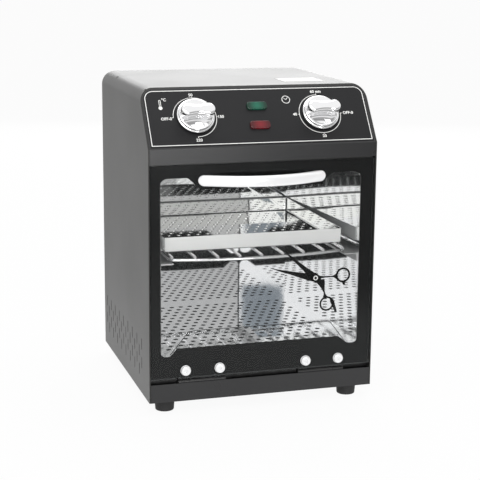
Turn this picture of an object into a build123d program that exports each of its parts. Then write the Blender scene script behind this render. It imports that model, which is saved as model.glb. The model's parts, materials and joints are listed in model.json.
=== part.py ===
"""Dry heat sterilizer cabinet with a drop-down glass door, a wire rack and a tray.

The front faces -Y, +X is to the right seen from the front, +Z is up, in millimetres.
The origin is on the table, under the middle of the whole object's box.
"""

import math
import os

from build123d import *

os.makedirs("parts", exist_ok=True)

# ---- Cabinet ----
body_width = 250.0
body_depth = 240.0
foot_height = 14.0
steel = 1.2
top_edge_radius = 15.0
panel_room = 11.5
slope_rise = 58.7
slope_run = 43.3
panel_gap = 0.3
screw_play = 0.05
return_flange = 12.0

# ---- Front strips ----
rail_height = 19.8
rail_steel = 1.0
rail_flange = 15.0
fascia_strip = 14.6
fascia_flange = 12.0

# ---- Side and rear vents ----
vent_first = 36.7
vent_last_gap = 12.0
vent_pitch = 11.75
vent_length = 12.6
vent_width = 1.8
vent_bottom = 18.3
vent_rise = 20.8
vent_stagger = 9.8
rear_vent_columns = 12
rear_vent_rows = 4
rear_vent_rise = 18.0
rear_vent_height = 250.0
base_vent_rows = 6
base_vent_pitch = 14.0
base_vent_length = 40.0

# ---- Fasteners ----
screw_radius = 1.5
screw_head_radius = 3.0
screw_head_height = 2.0
screw_head_round = 1.0
screw_length = 7.0
rear_screw_low = 26.0
rear_screw_drop = 53.0
base_screw_x = 40.0
base_screw_y = 70.0

# ---- Feet ----
foot_radius = 11.0
foot_taper = 1.0
foot_edge = 1.2
foot_side_inset = 21.0
foot_front_inset = 20.0
foot_screw_radius = 2.0
foot_head_radius = 3.8
foot_head_height = 2.6
foot_pocket_depth = 7.0
foot_nut_width = 7.0
foot_nut_height = 3.2

# ---- Cord gland ----
gland_inset = 45.0
gland_height = 46.0
gland_reach = 12.0
gland_bore = 4.0
gland_body_radius = 7.5
gland_collar_radius = 11.0
gland_collar_height = 3.0
gland_nut_height = 5.0
gland_taper = 2.2

# ---- Chamber ----
door_gap = 3.0
chamber_side_gap = 14.5
chamber_taper = 8.5
chamber_rear_gap = 9.0
chamber_floor_height = 43.0
chamber_ceiling_height = 245.0
liner = 0.8
frame_top_gap = 4.3
frame_flange = 7.0
hole_radius = 2.8
hole_pitch_x = 11.2
hole_pitch_y = 12.0
hole_margin_x = 5.0
hole_margin_y = 12.0

# ---- Heaters, shields and supports ----
heater_radius = 3.2
heater_lift = 3.6
heater_span = 110.0
heater_end_gap = 5.0
heater_stud_radius = 1.5
heater_stud = 6.0
insulator_radius = 5.0
insulator_length = 12.0
shield_side_gap = 2.0
shield_end_gap = 16.4
shield_height = 13.0
clip_width = 14.0
clip_thickness = 1.5
clip_bend_gap = 10.0
clip_wall_gap = 20.0
support_x = 50.0
support_flange = 14.0
support_end_gap = 5.0

# ---- Door ----
glass_side_gap = 2.0
glass_top_gap = 2.5
glass_thickness = 4.0
glass_bottom = 24.5
glass_corner = 1.5
handle_length = 139.0
handle_shift = 2.9
handle_height = 11.5
handle_reach = 23.5
handle_thickness = 7.0
handle_drop = 16.2
handle_end_depth = 2.0
handle_foot = 12.5
handle_round = 2.0
handle_screw_x = 63.0
handle_screw_radius = 2.0
handle_head_radius = 3.5
handle_head_height = 2.0
handle_screw_bite = 4.0
washer_thickness = 0.6
glass_hole_play = 0.4
bumper_radius = 4.0
bumper_top_inset = 30.0
bumper_top_drop = 4.2
bumper_low_x = 30.0
bumper_low_level = 34.0
catch_width = 24.0
catch_height = 7.0
catch_plate_thickness = 0.8
catch_drop = 4.2

# ---- Hinges ----
hinge_level = 20.2
hinge_setback = 4.0
hinge_inset = 57.9
hinge_width = 52.0
hinge_leaf_top = 42.0
hinge_steel = 1.5
knuckle_radius = 2.75
knuckle_width = 12.0
knuckle_gap = 0.3
pin_radius = 1.5
running_gap = 0.05
hinge_screw_pitch = 37.4
hinge_screw_level = 33.8
hinge_screw_radius = 2.0
hinge_head_radius = 5.25
hinge_head_height = 3.2
hinge_head_round = 1.4
hinge_socket_width = 3.0
hinge_socket_depth = 1.8
hinge_washer_radius = 5.6
hinge_washer_thickness = 0.8
hinge_screw_end = 0.6
mount_foot_level = 3.0
mount_screw_level = 9.0
mount_screw_pitch = 14.0
mount_head_height = 1.6

# ---- Rack and runners ----
rack_level = 149.6
rack_wire_radius = 1.75
rack_cross_radius = 1.5
rack_side_gap = 3.0
rack_front = 7.5
rack_bow = 12.5
rack_corner = 9.0
rack_rear_gap = 5.0
rack_cross_margin = 3.5
rack_cross_count = 9
rack_weld = 0.25
rest_gap = 0.3
runner_lip = 3.5
runner_steel = 1.2
runner_drop = 9.0
runner_front = 12.0
runner_rear_gap = 2.0

# ---- Tray ----
tray_side_gap = 1.0
tray_rear_gap = 6.0
tray_front = 34.5
tray_height = 16.2
tray_wall = 1.0
tray_corner = 3.2
tray_bottom_round = 2.5

# ---- Controls ----
overlay_side_gap = 3.5
overlay_bottom = 2.0
overlay_top_gap = 3.44
overlay_corner = 11.0
overlay_thickness = 0.4
temperature_inset = 55.0
timer_inset = 57.8
dial_s = 36.3
bushing_radius = 5.0
bushing_reach = 1.1
bushing_nut_width = 14.0
nut_window_radius = 9.0
shaft_radius = 3.0
shaft_inner = 12.0
shaft_grip = 10.0
knob_gap = 1.2
knob_radius = 20.0
knob_skirt = 3.2
knob_step = 1.4
knob_disc = 6.0
knob_grip_top = 20.0
knob_grip_half_length = 18.0
knob_grip_end_radius = 6.6
knob_grip_waist = 5.2
knob_round = 1.2
thermostat_width = 34.0
thermostat_length = 30.0
thermostat_depth = 22.0
bulb_radius = 2.5
bulb_length = 70.0
capillary_radius = 0.8
capillary_bend = 8.0
capillary_wall_gap = 11.8
timer_radius = 24.0
timer_depth = 24.0
bell_radius = 17.0
bell_depth = 8.0
bell_wall = 0.8
bell_stud = 2.5
lamp_x = -1.6
run_lamp_s = 47.3
power_lamp_s = 24.5
lamp_width = 22.0
lamp_height = 9.0
lamp_corner = 3.0
lamp_proud = 2.4
lamp_edge = 0.9
lamp_hole_width = 18.0
lamp_hole_height = 7.0
lamp_body_depth = 16.0
lamp_tab_length = 8.0
lamp_tab_width = 4.8
lamp_tab_thickness = 0.8

# ---- Electrics ----
block_size = (30.0, 18.0, 16.0)
block_setback = 41.75
block_round = 1.2
fuse_radius = 5.0
fuse_length = 12.0
fuse_inset = 40.0
fuse_y = 20.0
wire_radius = 1.2
wire_bend = 8.0
fuse_wire_wall_gap = 8.3

# ---- Label ----
label_width = 46.0
label_length = 36.0
label_thickness = 0.15
label_inset = 57.0
label_setback = 92.0

# ---- Places worked out from the sizes above ----
front = -(body_depth + gland_reach - handle_reach) / 2
rear = front + body_depth
ground = foot_height
half = body_width / 2
inner_half = half - steel
base_top = ground + steel
slope_angle = math.atan2(slope_run, slope_rise)
slope_sin = math.sin(slope_angle)
slope_cos = math.cos(slope_angle)
slope_tan = slope_run / slope_rise
glass_back = front + glass_thickness
frame_front = glass_back + door_gap
frame_back = frame_front + steel
back_y = rear - chamber_rear_gap
chamber_front_half = half - chamber_side_gap
chamber_back_half = chamber_front_half - chamber_taper
floor_z = ground + chamber_floor_height
ceiling_z = ground + chamber_ceiling_height
chamber_depth = back_y - frame_back
flare = (chamber_front_half - chamber_back_half) / chamber_depth
liner_x = liner * math.sqrt(1 + flare**2)
floor_under = floor_z - liner
ceiling_top = ceiling_z + liner
chamber_mid_y = (frame_back + back_y) / 2
slope_foot = ceiling_top + shield_height + panel_room
top = slope_foot + slope_rise
body_height = top - ground
door_bottom = ground + glass_bottom
fascia_bottom = slope_foot - fascia_strip
door_top = fascia_bottom - glass_top_gap
handle_z = door_top - handle_drop
hinge_x = half - hinge_inset
hinge_y = front + hinge_setback
hinge_z = ground + hinge_level
rack_z = ground + rack_level
cross_z = rack_z + rack_wire_radius + rack_cross_radius - rack_weld
tray_z = cross_z + rack_cross_radius + rest_gap
temperature_x = temperature_inset - half
timer_x = half - timer_inset
gland_x = half - gland_inset
rear_screw_first = ground + rear_screw_low
rear_screw_last = top - rear_screw_drop
rear_screw_rows = (rear_screw_first, (rear_screw_first + rear_screw_last) / 2, rear_screw_last)

panel = Plane(
    origin=(0, front, slope_foot),
    x_dir=(1, 0, 0),
    z_dir=(0, -slope_cos, slope_sin),
)
panel_axis = Axis((0, 0, 0), tuple(panel.z_dir))


def upright(y):
    """Plane facing the front, with X across and Z up."""
    return Plane(origin=(0, y, 0), x_dir=(1, 0, 0), z_dir=(0, -1, 0))


def on_panel(x, s, n):
    """Point x across and s up the sloped panel, n in front of its face."""
    return panel.from_local_coords(Vector(x, s, n))


def panel_plane(x, s, n):
    """Plane parallel to the sloped panel, centred on that point."""
    return Plane(origin=on_panel(x, s, n), x_dir=panel.x_dir, z_dir=panel.z_dir)


def wall_x(y, inward=0.0):
    """Half the chamber's width at depth y, less a margin."""
    return chamber_front_half - flare * (y - frame_back) - inward


def staggered_holes(width, length, middle_y):
    """Centres of the staggered hole pattern that fits a plate of that size, less its margins."""
    clear_width = width - 2 * hole_margin_x - 2 * hole_radius - hole_pitch_x / 2
    clear_length = length - 2 * hole_margin_y - 2 * hole_radius
    columns = int(clear_width / hole_pitch_x) + 1
    rows = int(clear_length / hole_pitch_y) + 1
    centres = []
    for row in range(rows):
        shift = hole_pitch_x / 4 * (1 if row % 2 else -1)
        row_y = middle_y + (row - (rows - 1) / 2) * hole_pitch_y
        for column in range(columns):
            centres.append((shift + (column - (columns - 1) / 2) * hole_pitch_x, row_y))
    return centres


def pan_screw(radius, head_radius, head_height, length):
    """Pan head screw standing head up, its seat at the origin."""
    with BuildPart() as screw:
        with BuildSketch():
            Circle(head_radius)
        extrude(amount=head_height)
        fillet(screw.edges().group_by(Axis.Z)[-1], screw_head_round)
        with BuildSketch():
            Circle(radius)
        extrude(amount=-length)
    return screw.part


def wire(points, radius, bend=None):
    """Round wire along straight runs joined by arcs, or straight when it has no bend."""
    with BuildPart() as lead:
        with BuildLine() as path:
            if bend:
                FilletPolyline(*points, radius=bend)
            else:
                Line(*points)
        with BuildSketch(Plane(origin=path.line @ 0, z_dir=path.line % 0)):
            Circle(radius)
        sweep()
    return lead.part


small_screw = pan_screw(screw_radius, screw_head_radius, screw_head_height, screw_length)

# ---- Outer wrap: one sheet bent over both sides and the top ----
with BuildPart() as outer_wrap:
    with BuildSketch(upright(front)) as outside:
        with Locations((0, ground)):
            Rectangle(body_width, body_height, align=(Align.CENTER, Align.MIN))
        fillet(outside.vertices().group_by(Axis.Y)[-1], top_edge_radius)
    extrude(amount=-body_depth)
    with BuildSketch(upright(front)) as inside:
        with Locations((0, ground)):
            Rectangle(2 * inner_half, body_height - steel, align=(Align.CENTER, Align.MIN))
        fillet(inside.vertices().group_by(Axis.Y)[-1], top_edge_radius - steel)
    extrude(amount=-body_depth, mode=Mode.SUBTRACT)
    with BuildSketch(upright(rear - 2 * steel)) as rear_return:
        with Locations((0, base_top)):
            Rectangle(2 * inner_half, top - steel - base_top, align=(Align.CENTER, Align.MIN))
        fillet(rear_return.vertices().group_by(Axis.Y)[-1], top_edge_radius - steel)
        with Locations((0, base_top)):
            Rectangle(
                2 * (inner_half - return_flange),
                top - steel - base_top - return_flange,
                align=(Align.CENTER, Align.MIN),
                mode=Mode.SUBTRACT,
            )
    extrude(amount=-steel)
    with BuildSketch(Plane.XY.offset(base_top)) as bottom_returns:
        for side in (-1, 1):
            with Locations((side * (inner_half - return_flange / 2), front + rail_flange + return_flange)):
                Rectangle(
                    return_flange,
                    rear - 2 * steel - front - rail_flange - return_flange,
                    align=(Align.CENTER, Align.MIN),
                )
    extrude(amount=steel)
    with BuildSketch(Plane.YZ) as slope_cut:
        with BuildLine():
            Polyline(
                (front, slope_foot),
                (front - slope_run, slope_foot),
                (front - slope_run, top + slope_rise),
                (front + 2 * slope_run, top + slope_rise),
                (front, slope_foot),
            )
        make_face()
    extrude(amount=half, both=True, mode=Mode.SUBTRACT)
    vent_columns = int((body_depth - vent_first - vent_last_gap) / vent_pitch) + 1
    with BuildSketch(Plane.YZ) as side_vents:
        for column in range(vent_columns):
            row = ground + vent_bottom + vent_length / 2 + vent_stagger * ((column + 1) % 2)
            column_y = front + vent_first + column * vent_pitch
            with Locations((column_y, row), (column_y, row + vent_rise)):
                SlotOverall(vent_length, vent_width, rotation=90)
    extrude(amount=half, both=True, mode=Mode.SUBTRACT)
    with Locations(*[
        Location((side * (inner_half - return_flange / 2), rear - steel - steel / 2, z), (90, 0, 0))
        for side in (-1, 1) for z in rear_screw_rows
    ]):
        Hole(screw_radius + screw_play)
    with Locations(*[
        (side * (inner_half - return_flange / 2), y, base_top + steel)
        for side in (-1, 1) for y in (-base_screw_y, base_screw_y)
    ]):
        Hole(screw_radius + screw_play)
outer_wrap.part.label = "outer_wrap"
export_step(outer_wrap.part, "parts/outer_wrap.step")

foot_places = [
    (side * (half - foot_side_inset), y)
    for side in (-1, 1) for y in (front + foot_front_inset, rear - foot_front_inset)
]
base_screw_places = [
    (side * (inner_half - return_flange / 2), y)
    for side in (-1, 1) for y in (-base_screw_y, base_screw_y)
] + [(side * base_screw_x, frame_back + frame_flange / 2) for side in (-1, 1)]

# ---- Base pan with its rear return, foot holes and vents ----
with BuildPart() as base_pan:
    with BuildSketch(Plane.XY.offset(ground)):
        with Locations((0, front + rail_steel)):
            Rectangle(2 * inner_half, rear - steel - front - rail_steel, align=(Align.CENTER, Align.MIN))
    extrude(amount=steel)
    with BuildSketch(upright(rear - 2 * steel)):
        with Locations((0, base_top)):
            Rectangle(
                2 * (inner_half - return_flange - panel_gap),
                return_flange,
                align=(Align.CENTER, Align.MIN),
            )
    extrude(amount=-steel)
    with Locations(*[(x, y, base_top) for x, y in foot_places]):
        Hole(foot_screw_radius + screw_play)
    with Locations(*[(x, y, base_top) for x, y in base_screw_places]):
        Hole(screw_radius + screw_play)
    with BuildSketch(Plane.XY.offset(ground)):
        with GridLocations(0, base_vent_pitch, 1, base_vent_rows):
            SlotOverall(base_vent_length, vent_width)
    extrude(amount=steel, mode=Mode.SUBTRACT)
base_pan.part.label = "base_pan"
export_step(base_pan.part, "parts/base_pan.step")

# ---- Base rail: the strip under the door, folded back over the pan ----
with BuildPart() as base_rail:
    with BuildSketch(upright(front)):
        with Locations((0, ground)):
            Rectangle(2 * (inner_half - panel_gap), rail_height, align=(Align.CENTER, Align.MIN))
    extrude(amount=-rail_steel)
    with BuildSketch(Plane.XY.offset(base_top)):
        with Locations((0, front)):
            Rectangle(
                2 * (inner_half - return_flange - panel_gap),
                rail_flange,
                align=(Align.CENTER, Align.MIN),
            )
    extrude(amount=rail_steel)
    with Locations(*[(side * base_screw_x, frame_back + frame_flange / 2, base_top) for side in (-1, 1)]):
        Hole(screw_radius + screw_play)
base_rail.part.label = "base_rail"
export_step(base_rail.part, "parts/base_rail.step")

# ---- Front fascia: strip over the door and sloped control panel in one bent sheet ----
slope_end_z = top - steel
slope_end_y = front + (slope_end_z - slope_foot) * slope_tan
slope_inner_y = front + (steel + (slope_end_z - steel - slope_foot) * slope_sin) / slope_cos
with BuildPart() as front_fascia:
    with BuildSketch(Plane.YZ):
        with BuildLine():
            Polyline(
                (frame_front, fascia_bottom),
                (front, fascia_bottom),
                (front, slope_foot),
                (slope_end_y, slope_end_z),
                (slope_end_y + fascia_flange, slope_end_z),
                (slope_end_y + fascia_flange, slope_end_z - steel),
                (slope_inner_y, slope_end_z - steel),
                (front + steel, slope_foot - steel * math.tan(slope_angle / 2)),
                (front + steel, fascia_bottom + steel),
                (frame_front, fascia_bottom + steel),
                (frame_front, fascia_bottom),
            )
        make_face()
    extrude(amount=inner_half - panel_gap, both=True)
    with BuildSketch(upright(front)) as fascia_outline:
        with Locations((0, ground)):
            Rectangle(2 * (inner_half - panel_gap), body_height - steel, align=(Align.CENTER, Align.MIN))
        fillet(fascia_outline.vertices().group_by(Axis.Y)[-1], top_edge_radius - steel)
    extrude(amount=-body_depth, mode=Mode.INTERSECT)
    with BuildSketch(panel):
        with Locations((temperature_x, dial_s), (timer_x, dial_s)):
            Circle(bushing_radius + screw_play)
        with Locations((lamp_x, run_lamp_s), (lamp_x, power_lamp_s)):
            Rectangle(lamp_hole_width + 2 * screw_play, lamp_hole_height + 2 * screw_play)
    extrude(amount=-2 * steel, mode=Mode.SUBTRACT)
front_fascia.part.label = "front_fascia"
export_step(front_fascia.part, "parts/front_fascia.step")

# ---- Printed overlay on the sloped panel ----
overlay_width = body_width - 2 * overlay_side_gap
overlay_length = math.hypot(slope_rise, slope_run) - overlay_bottom - overlay_top_gap
with BuildPart() as control_overlay:
    with BuildSketch(panel) as overlay_outline:
        with Locations((0, overlay_bottom)):
            Rectangle(overlay_width, overlay_length, align=(Align.CENTER, Align.MIN))
        fillet(overlay_outline.vertices().group_by(Axis.Y)[-1], overlay_corner)
        with Locations((temperature_x, dial_s), (timer_x, dial_s)):
            Circle(nut_window_radius, mode=Mode.SUBTRACT)
        with Locations((lamp_x, run_lamp_s), (lamp_x, power_lamp_s)):
            Rectangle(
                lamp_hole_width + 2 * screw_play,
                lamp_hole_height + 2 * screw_play,
                mode=Mode.SUBTRACT,
            )
    extrude(amount=overlay_thickness)
control_overlay.part.label = "control_overlay"
export_step(control_overlay.part, "parts/control_overlay.step")

# ---- Rear panel inside the wrap, screwed to its return flange ----
with BuildPart() as rear_panel:
    with BuildSketch(upright(rear - steel)) as rear_outline:
        with Locations((0, ground)):
            Rectangle(
                2 * (inner_half - panel_gap),
                body_height - steel - panel_gap,
                align=(Align.CENTER, Align.MIN),
            )
        fillet(rear_outline.vertices().group_by(Axis.Y)[-1], top_edge_radius - steel)
        with Locations(*[
            (side * (inner_half - return_flange / 2), z) for side in (-1, 1) for z in rear_screw_rows
        ]):
            Circle(screw_radius + screw_play, mode=Mode.SUBTRACT)
        with Locations((gland_x, gland_height)):
            Circle(gland_body_radius + screw_play, mode=Mode.SUBTRACT)
        with Locations((0, rear_vent_height)):
            with GridLocations(vent_pitch, rear_vent_rise, rear_vent_columns, rear_vent_rows):
                SlotOverall(vent_length, vent_width, rotation=90, mode=Mode.SUBTRACT)
    extrude(amount=-steel)
rear_panel.part.label = "rear_panel"
export_step(rear_panel.part, "parts/rear_panel.step")

# ---- Rear screws ----
with BuildPart() as rear_screws:
    with Locations(*[
        Location((side * (inner_half - return_flange / 2), rear, z), (-90, 0, 0))
        for side in (-1, 1) for z in rear_screw_rows
    ]):
        add(small_screw)
rear_screws.part.label = "rear_screws"
export_step(rear_screws.part, "parts/rear_screws.step")

# ---- Base screws, heads under the pan ----
with BuildPart() as base_screws:
    with Locations(*[Location((x, y, ground), (180, 0, 0)) for x, y in base_screw_places]):
        add(small_screw)
base_screws.part.label = "base_screws"
export_step(base_screws.part, "parts/base_screws.step")

# ---- Rubber feet with a pocket for the screw head ----
with BuildPart() as feet:
    with BuildSketch(Plane.XY.offset(ground)):
        with Locations(*foot_places):
            Circle(foot_radius)
    extrude(amount=-foot_height, taper=math.degrees(math.atan2(foot_taper, foot_height)))
    fillet(feet.edges().group_by(Axis.Z)[0], foot_edge)
    with BuildSketch(Plane.XY):
        with Locations(*foot_places):
            Circle(foot_head_radius + panel_gap)
    extrude(amount=foot_pocket_depth, mode=Mode.SUBTRACT)
    with Locations(*[(x, y, ground) for x, y in foot_places]):
        Hole(foot_screw_radius + screw_play)
feet.part.label = "feet"
export_step(feet.part, "parts/feet.step")

# ---- Foot screws and nuts ----
foot_screw_length = ground - foot_pocket_depth + steel + foot_nut_height
foot_screw = pan_screw(foot_screw_radius, foot_head_radius, foot_head_height, foot_screw_length)
with BuildPart() as foot_screws:
    with Locations(*[Location((x, y, foot_pocket_depth), (180, 0, 0)) for x, y in foot_places]):
        add(foot_screw)
foot_screws.part.label = "foot_screws"
export_step(foot_screws.part, "parts/foot_screws.step")

with BuildPart() as foot_nuts:
    with BuildSketch(Plane.XY.offset(base_top)):
        with Locations(*foot_places):
            RegularPolygon(foot_nut_width / 2, 6, major_radius=False)
            Circle(foot_screw_radius + screw_play, mode=Mode.SUBTRACT)
    extrude(amount=foot_nut_height)
foot_nuts.part.label = "foot_nuts"
export_step(foot_nuts.part, "parts/foot_nuts.step")

# ---- Cord gland through the rear panel, with no cord in it ----
gland_inner = steel + gland_nut_height
with BuildPart() as cord_gland:
    with BuildSketch(upright(rear)):
        with Locations((gland_x, gland_height)):
            Circle(gland_collar_radius)
    extrude(amount=-gland_collar_height)
    with BuildSketch(upright(rear + gland_collar_height)):
        with Locations((gland_x, gland_height)):
            Circle(gland_body_radius)
    extrude(amount=-(gland_reach - gland_collar_height), taper=gland_taper)
    with BuildSketch(upright(rear)):
        with Locations((gland_x, gland_height)):
            Circle(gland_body_radius)
    extrude(amount=gland_inner)
    with BuildSketch(upright(rear - steel)):
        with Locations((gland_x, gland_height)):
            RegularPolygon(gland_collar_radius, 6)
    extrude(amount=gland_nut_height)
    with BuildSketch(upright(rear + gland_reach)):
        with Locations((gland_x, gland_height)):
            Circle(gland_bore)
    extrude(amount=gland_reach + gland_inner, mode=Mode.SUBTRACT)
cord_gland.part.label = "cord_gland"
export_step(cord_gland.part, "parts/cord_gland.step")

# ---- Blank label on the top ----
with BuildPart() as top_label:
    with BuildSketch(Plane.XY.offset(top)):
        with Locations((half - label_inset, front + label_setback)):
            Rectangle(label_width, label_length)
    extrude(amount=label_thickness)
top_label.part.label = "top_label"
export_step(top_label.part, "parts/top_label.step")

mount_screw_places = [
    (side * hinge_x + k * mount_screw_pitch / 2, ground + mount_screw_level)
    for side in (-1, 1) for k in (-1, 1)
]

# ---- Front frame round the doorway ----
frame_bottom = base_top + rail_steel
frame_top = slope_foot - frame_top_gap
with BuildPart() as front_frame:
    with BuildSketch(upright(frame_front)):
        with Locations((0, frame_bottom)):
            Rectangle(
                2 * (inner_half - panel_gap),
                frame_top - frame_bottom,
                align=(Align.CENTER, Align.MIN),
            )
        with Locations((0, floor_z)):
            Rectangle(
                2 * chamber_front_half,
                ceiling_z - floor_z,
                align=(Align.CENTER, Align.MIN),
                mode=Mode.SUBTRACT,
            )
        with Locations(*mount_screw_places):
            Circle(screw_radius + screw_play, mode=Mode.SUBTRACT)
    extrude(amount=-steel)
    with BuildSketch(Plane.XY.offset(frame_bottom)):
        with Locations((0, frame_front)):
            Rectangle(
                2 * (inner_half - return_flange - panel_gap),
                steel + frame_flange,
                align=(Align.CENTER, Align.MIN),
            )
        with Locations(*[(side * base_screw_x, frame_back + frame_flange / 2) for side in (-1, 1)]):
            Circle(screw_radius + screw_play, mode=Mode.SUBTRACT)
    extrude(amount=steel)
front_frame.part.label = "front_frame"
export_step(front_frame.part, "parts/front_frame.step")

# ---- Chamber side walls, flaring towards the doorway ----
for side, name in ((-1, "chamber_left_wall"), (1, "chamber_right_wall")):
    with BuildPart() as chamber_wall:
        with BuildSketch(Plane.XY.offset(floor_z)):
            with BuildLine():
                Polyline(
                    (side * chamber_front_half, frame_back),
                    (side * chamber_back_half, back_y),
                    (side * (chamber_back_half + liner_x), back_y),
                    (side * (chamber_front_half + liner_x), frame_back),
                    (side * chamber_front_half, frame_back),
                )
            make_face()
        extrude(amount=ceiling_z - floor_z)
    chamber_wall.part.label = name
    export_step(chamber_wall.part, f"parts/{name}.step")

# ---- Chamber back wall ----
with BuildPart() as chamber_back_wall:
    with BuildSketch(upright(back_y)):
        with Locations((0, floor_z)):
            Rectangle(
                2 * (chamber_back_half + liner_x),
                ceiling_z - floor_z,
                align=(Align.CENTER, Align.MIN),
            )
    extrude(amount=-liner)
chamber_back_wall.part.label = "chamber_back_wall"
export_step(chamber_back_wall.part, "parts/chamber_back_wall.step")

# ---- Perforated floor and ceiling ----
for name, level in (("chamber_floor", floor_under), ("chamber_ceiling", ceiling_z)):
    with BuildPart() as chamber_plate:
        with BuildSketch(Plane.XY.offset(level)):
            with BuildLine():
                Polyline(
                    (-chamber_front_half - liner_x, frame_back),
                    (chamber_front_half + liner_x, frame_back),
                    (chamber_back_half + liner_x, back_y + liner),
                    (-chamber_back_half - liner_x, back_y + liner),
                    (-chamber_front_half - liner_x, frame_back),
                )
            make_face()
            with Locations(*staggered_holes(2 * chamber_back_half, chamber_depth, chamber_mid_y)):
                Circle(hole_radius, mode=Mode.SUBTRACT)
        extrude(amount=liner)
    chamber_plate.part.label = name
    export_step(chamber_plate.part, f"parts/{name}.step")

# ---- Heat shields: shallow pans that close in each heater ----
lower_heater_z = floor_under - heater_lift - heater_radius
upper_heater_z = ceiling_top + heater_lift + heater_radius
shield_half_width = chamber_back_half - shield_side_gap
shield_depth = chamber_depth - 2 * shield_end_gap
shield_parts = (
    ("lower_shield", floor_under - shield_height, floor_under - shield_height, lower_heater_z),
    ("upper_shield", ceiling_top + shield_height - liner, ceiling_top, upper_heater_z),
)
for name, plate_z, side_z, heater_z in shield_parts:
    with BuildPart() as heat_shield:
        with BuildSketch(Plane.XY.offset(plate_z)):
            with Locations((0, chamber_mid_y)):
                Rectangle(2 * shield_half_width, shield_depth)
        extrude(amount=liner)
        with BuildSketch(Plane.XY.offset(side_z)):
            for side in (-1, 1):
                with Locations((side * (shield_half_width - liner / 2), chamber_mid_y)):
                    Rectangle(liner, shield_depth)
        extrude(amount=shield_height)
        with BuildSketch(Plane.YZ.offset(shield_half_width - insulator_length)):
            with Locations(*[(chamber_mid_y + k * heater_span / 2, heater_z) for k in (-1, 1)]):
                Circle(insulator_radius + screw_play)
        extrude(amount=2 * insulator_length, mode=Mode.SUBTRACT)
        with BuildSketch(Plane.YZ.offset(-shield_half_width)):
            with Locations((chamber_mid_y, ceiling_top + bulb_radius)):
                Circle(capillary_radius + panel_gap)
        extrude(amount=insulator_length, mode=Mode.SUBTRACT)
    heat_shield.part.label = name
    export_step(heat_shield.part, f"parts/{name}.step")

# ---- Heaters: one hairpin tube each, with a stud at both ends ----
heater_right = shield_half_width + insulator_length
heater_left = heater_end_gap + heater_span / 2 - shield_half_width
for name, heater_z in (("lower_heater", lower_heater_z), ("upper_heater", upper_heater_z)):
    with BuildPart() as heater:
        near = chamber_mid_y - heater_span / 2
        far = chamber_mid_y + heater_span / 2
        with BuildLine() as hairpin:
            Line((heater_right, near, heater_z), (heater_left, near, heater_z))
            ThreePointArc(
                (heater_left, near, heater_z),
                (heater_left - heater_span / 2, chamber_mid_y, heater_z),
                (heater_left, far, heater_z),
            )
            Line((heater_left, far, heater_z), (heater_right, far, heater_z))
        with BuildSketch(Plane(origin=(heater_right, near, heater_z), z_dir=(-1, 0, 0))):
            Circle(heater_radius)
        sweep(path=hairpin.line)
        with BuildSketch(Plane.YZ.offset(heater_right)):
            with Locations((near, heater_z), (far, heater_z)):
                Circle(heater_stud_radius)
        extrude(amount=heater_stud)
    heater.part.label = name
    export_step(heater.part, f"parts/{name}.step")

# ---- Ceramic insulators round the heater ends ----
with BuildPart() as heater_insulators:
    with BuildSketch(Plane.YZ.offset(heater_right - insulator_length)):
        for heater_z in (lower_heater_z, upper_heater_z):
            with Locations(*[(chamber_mid_y + k * heater_span / 2, heater_z) for k in (-1, 1)]):
                Circle(insulator_radius)
                Circle(heater_radius, mode=Mode.SUBTRACT)
    extrude(amount=insulator_length)
heater_insulators.part.label = "heater_insulators"
export_step(heater_insulators.part, "parts/heater_insulators.step")

# ---- Clips that carry the heater tubes ----
clip_first = heater_left + clip_bend_gap
clip_last = shield_half_width - clip_wall_gap
with BuildPart() as heater_clips:
    for clip_bottom, heater_z in (
        (floor_under - shield_height + liner, lower_heater_z),
        (ceiling_top, upper_heater_z),
    ):
        for x in (clip_first, (clip_first + clip_last) / 2, clip_last):
            with BuildSketch(Plane.YZ.offset(x)):
                with Locations(*[(chamber_mid_y + k * heater_span / 2, clip_bottom) for k in (-1, 1)]):
                    Rectangle(clip_width, heater_z - clip_bottom, align=(Align.CENTER, Align.MIN))
                with Locations(*[(chamber_mid_y + k * heater_span / 2, heater_z) for k in (-1, 1)]):
                    Circle(heater_radius, mode=Mode.SUBTRACT)
            extrude(amount=clip_thickness)
heater_clips.part.label = "heater_clips"
export_step(heater_clips.part, "parts/heater_clips.step")

# ---- Chamber supports between the base pan and the lower shield ----
support_top = floor_under - shield_height
support_length = shield_depth - 2 * support_end_gap
with BuildPart() as chamber_supports:
    with BuildSketch(Plane.XZ.offset(-chamber_mid_y)):
        for side in (-1, 1):
            with Locations((side * support_x, base_top)):
                Rectangle(steel, support_top - base_top, align=(Align.CENTER, Align.MIN))
                Rectangle(support_flange, steel, align=(Align.CENTER, Align.MIN))
            with Locations((side * support_x, support_top)):
                Rectangle(support_flange, steel, align=(Align.CENTER, Align.MAX))
    extrude(amount=support_length / 2, both=True)
chamber_supports.part.label = "chamber_supports"
export_step(chamber_supports.part, "parts/chamber_supports.step")

# ---- Shelf runners folded from strip and welded to the side walls ----
runner_top = rack_z - rack_wire_radius - rest_gap
run_front = front + runner_front
run_rear = back_y - runner_rear_gap
rack_half_width = chamber_back_half - rack_side_gap
runner_inner = rack_half_width - runner_lip
with BuildPart() as shelf_runners:
    for side in (-1, 1):
        with BuildSketch(Plane.XY.offset(runner_top - runner_steel)):
            with BuildLine():
                Polyline(
                    (side * runner_inner, run_front),
                    (side * wall_x(run_front), run_front),
                    (side * wall_x(run_rear), run_rear),
                    (side * runner_inner, run_rear),
                    (side * runner_inner, run_front),
                )
            make_face()
        extrude(amount=runner_steel)
        with BuildSketch(Plane.XY.offset(runner_top - runner_drop)):
            with BuildLine():
                Polyline(
                    (side * wall_x(run_front, runner_steel), run_front),
                    (side * wall_x(run_front), run_front),
                    (side * wall_x(run_rear), run_rear),
                    (side * wall_x(run_rear, runner_steel), run_rear),
                    (side * wall_x(run_front, runner_steel), run_front),
                )
            make_face()
        extrude(amount=runner_drop)
shelf_runners.part.label = "shelf_runners"
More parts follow.
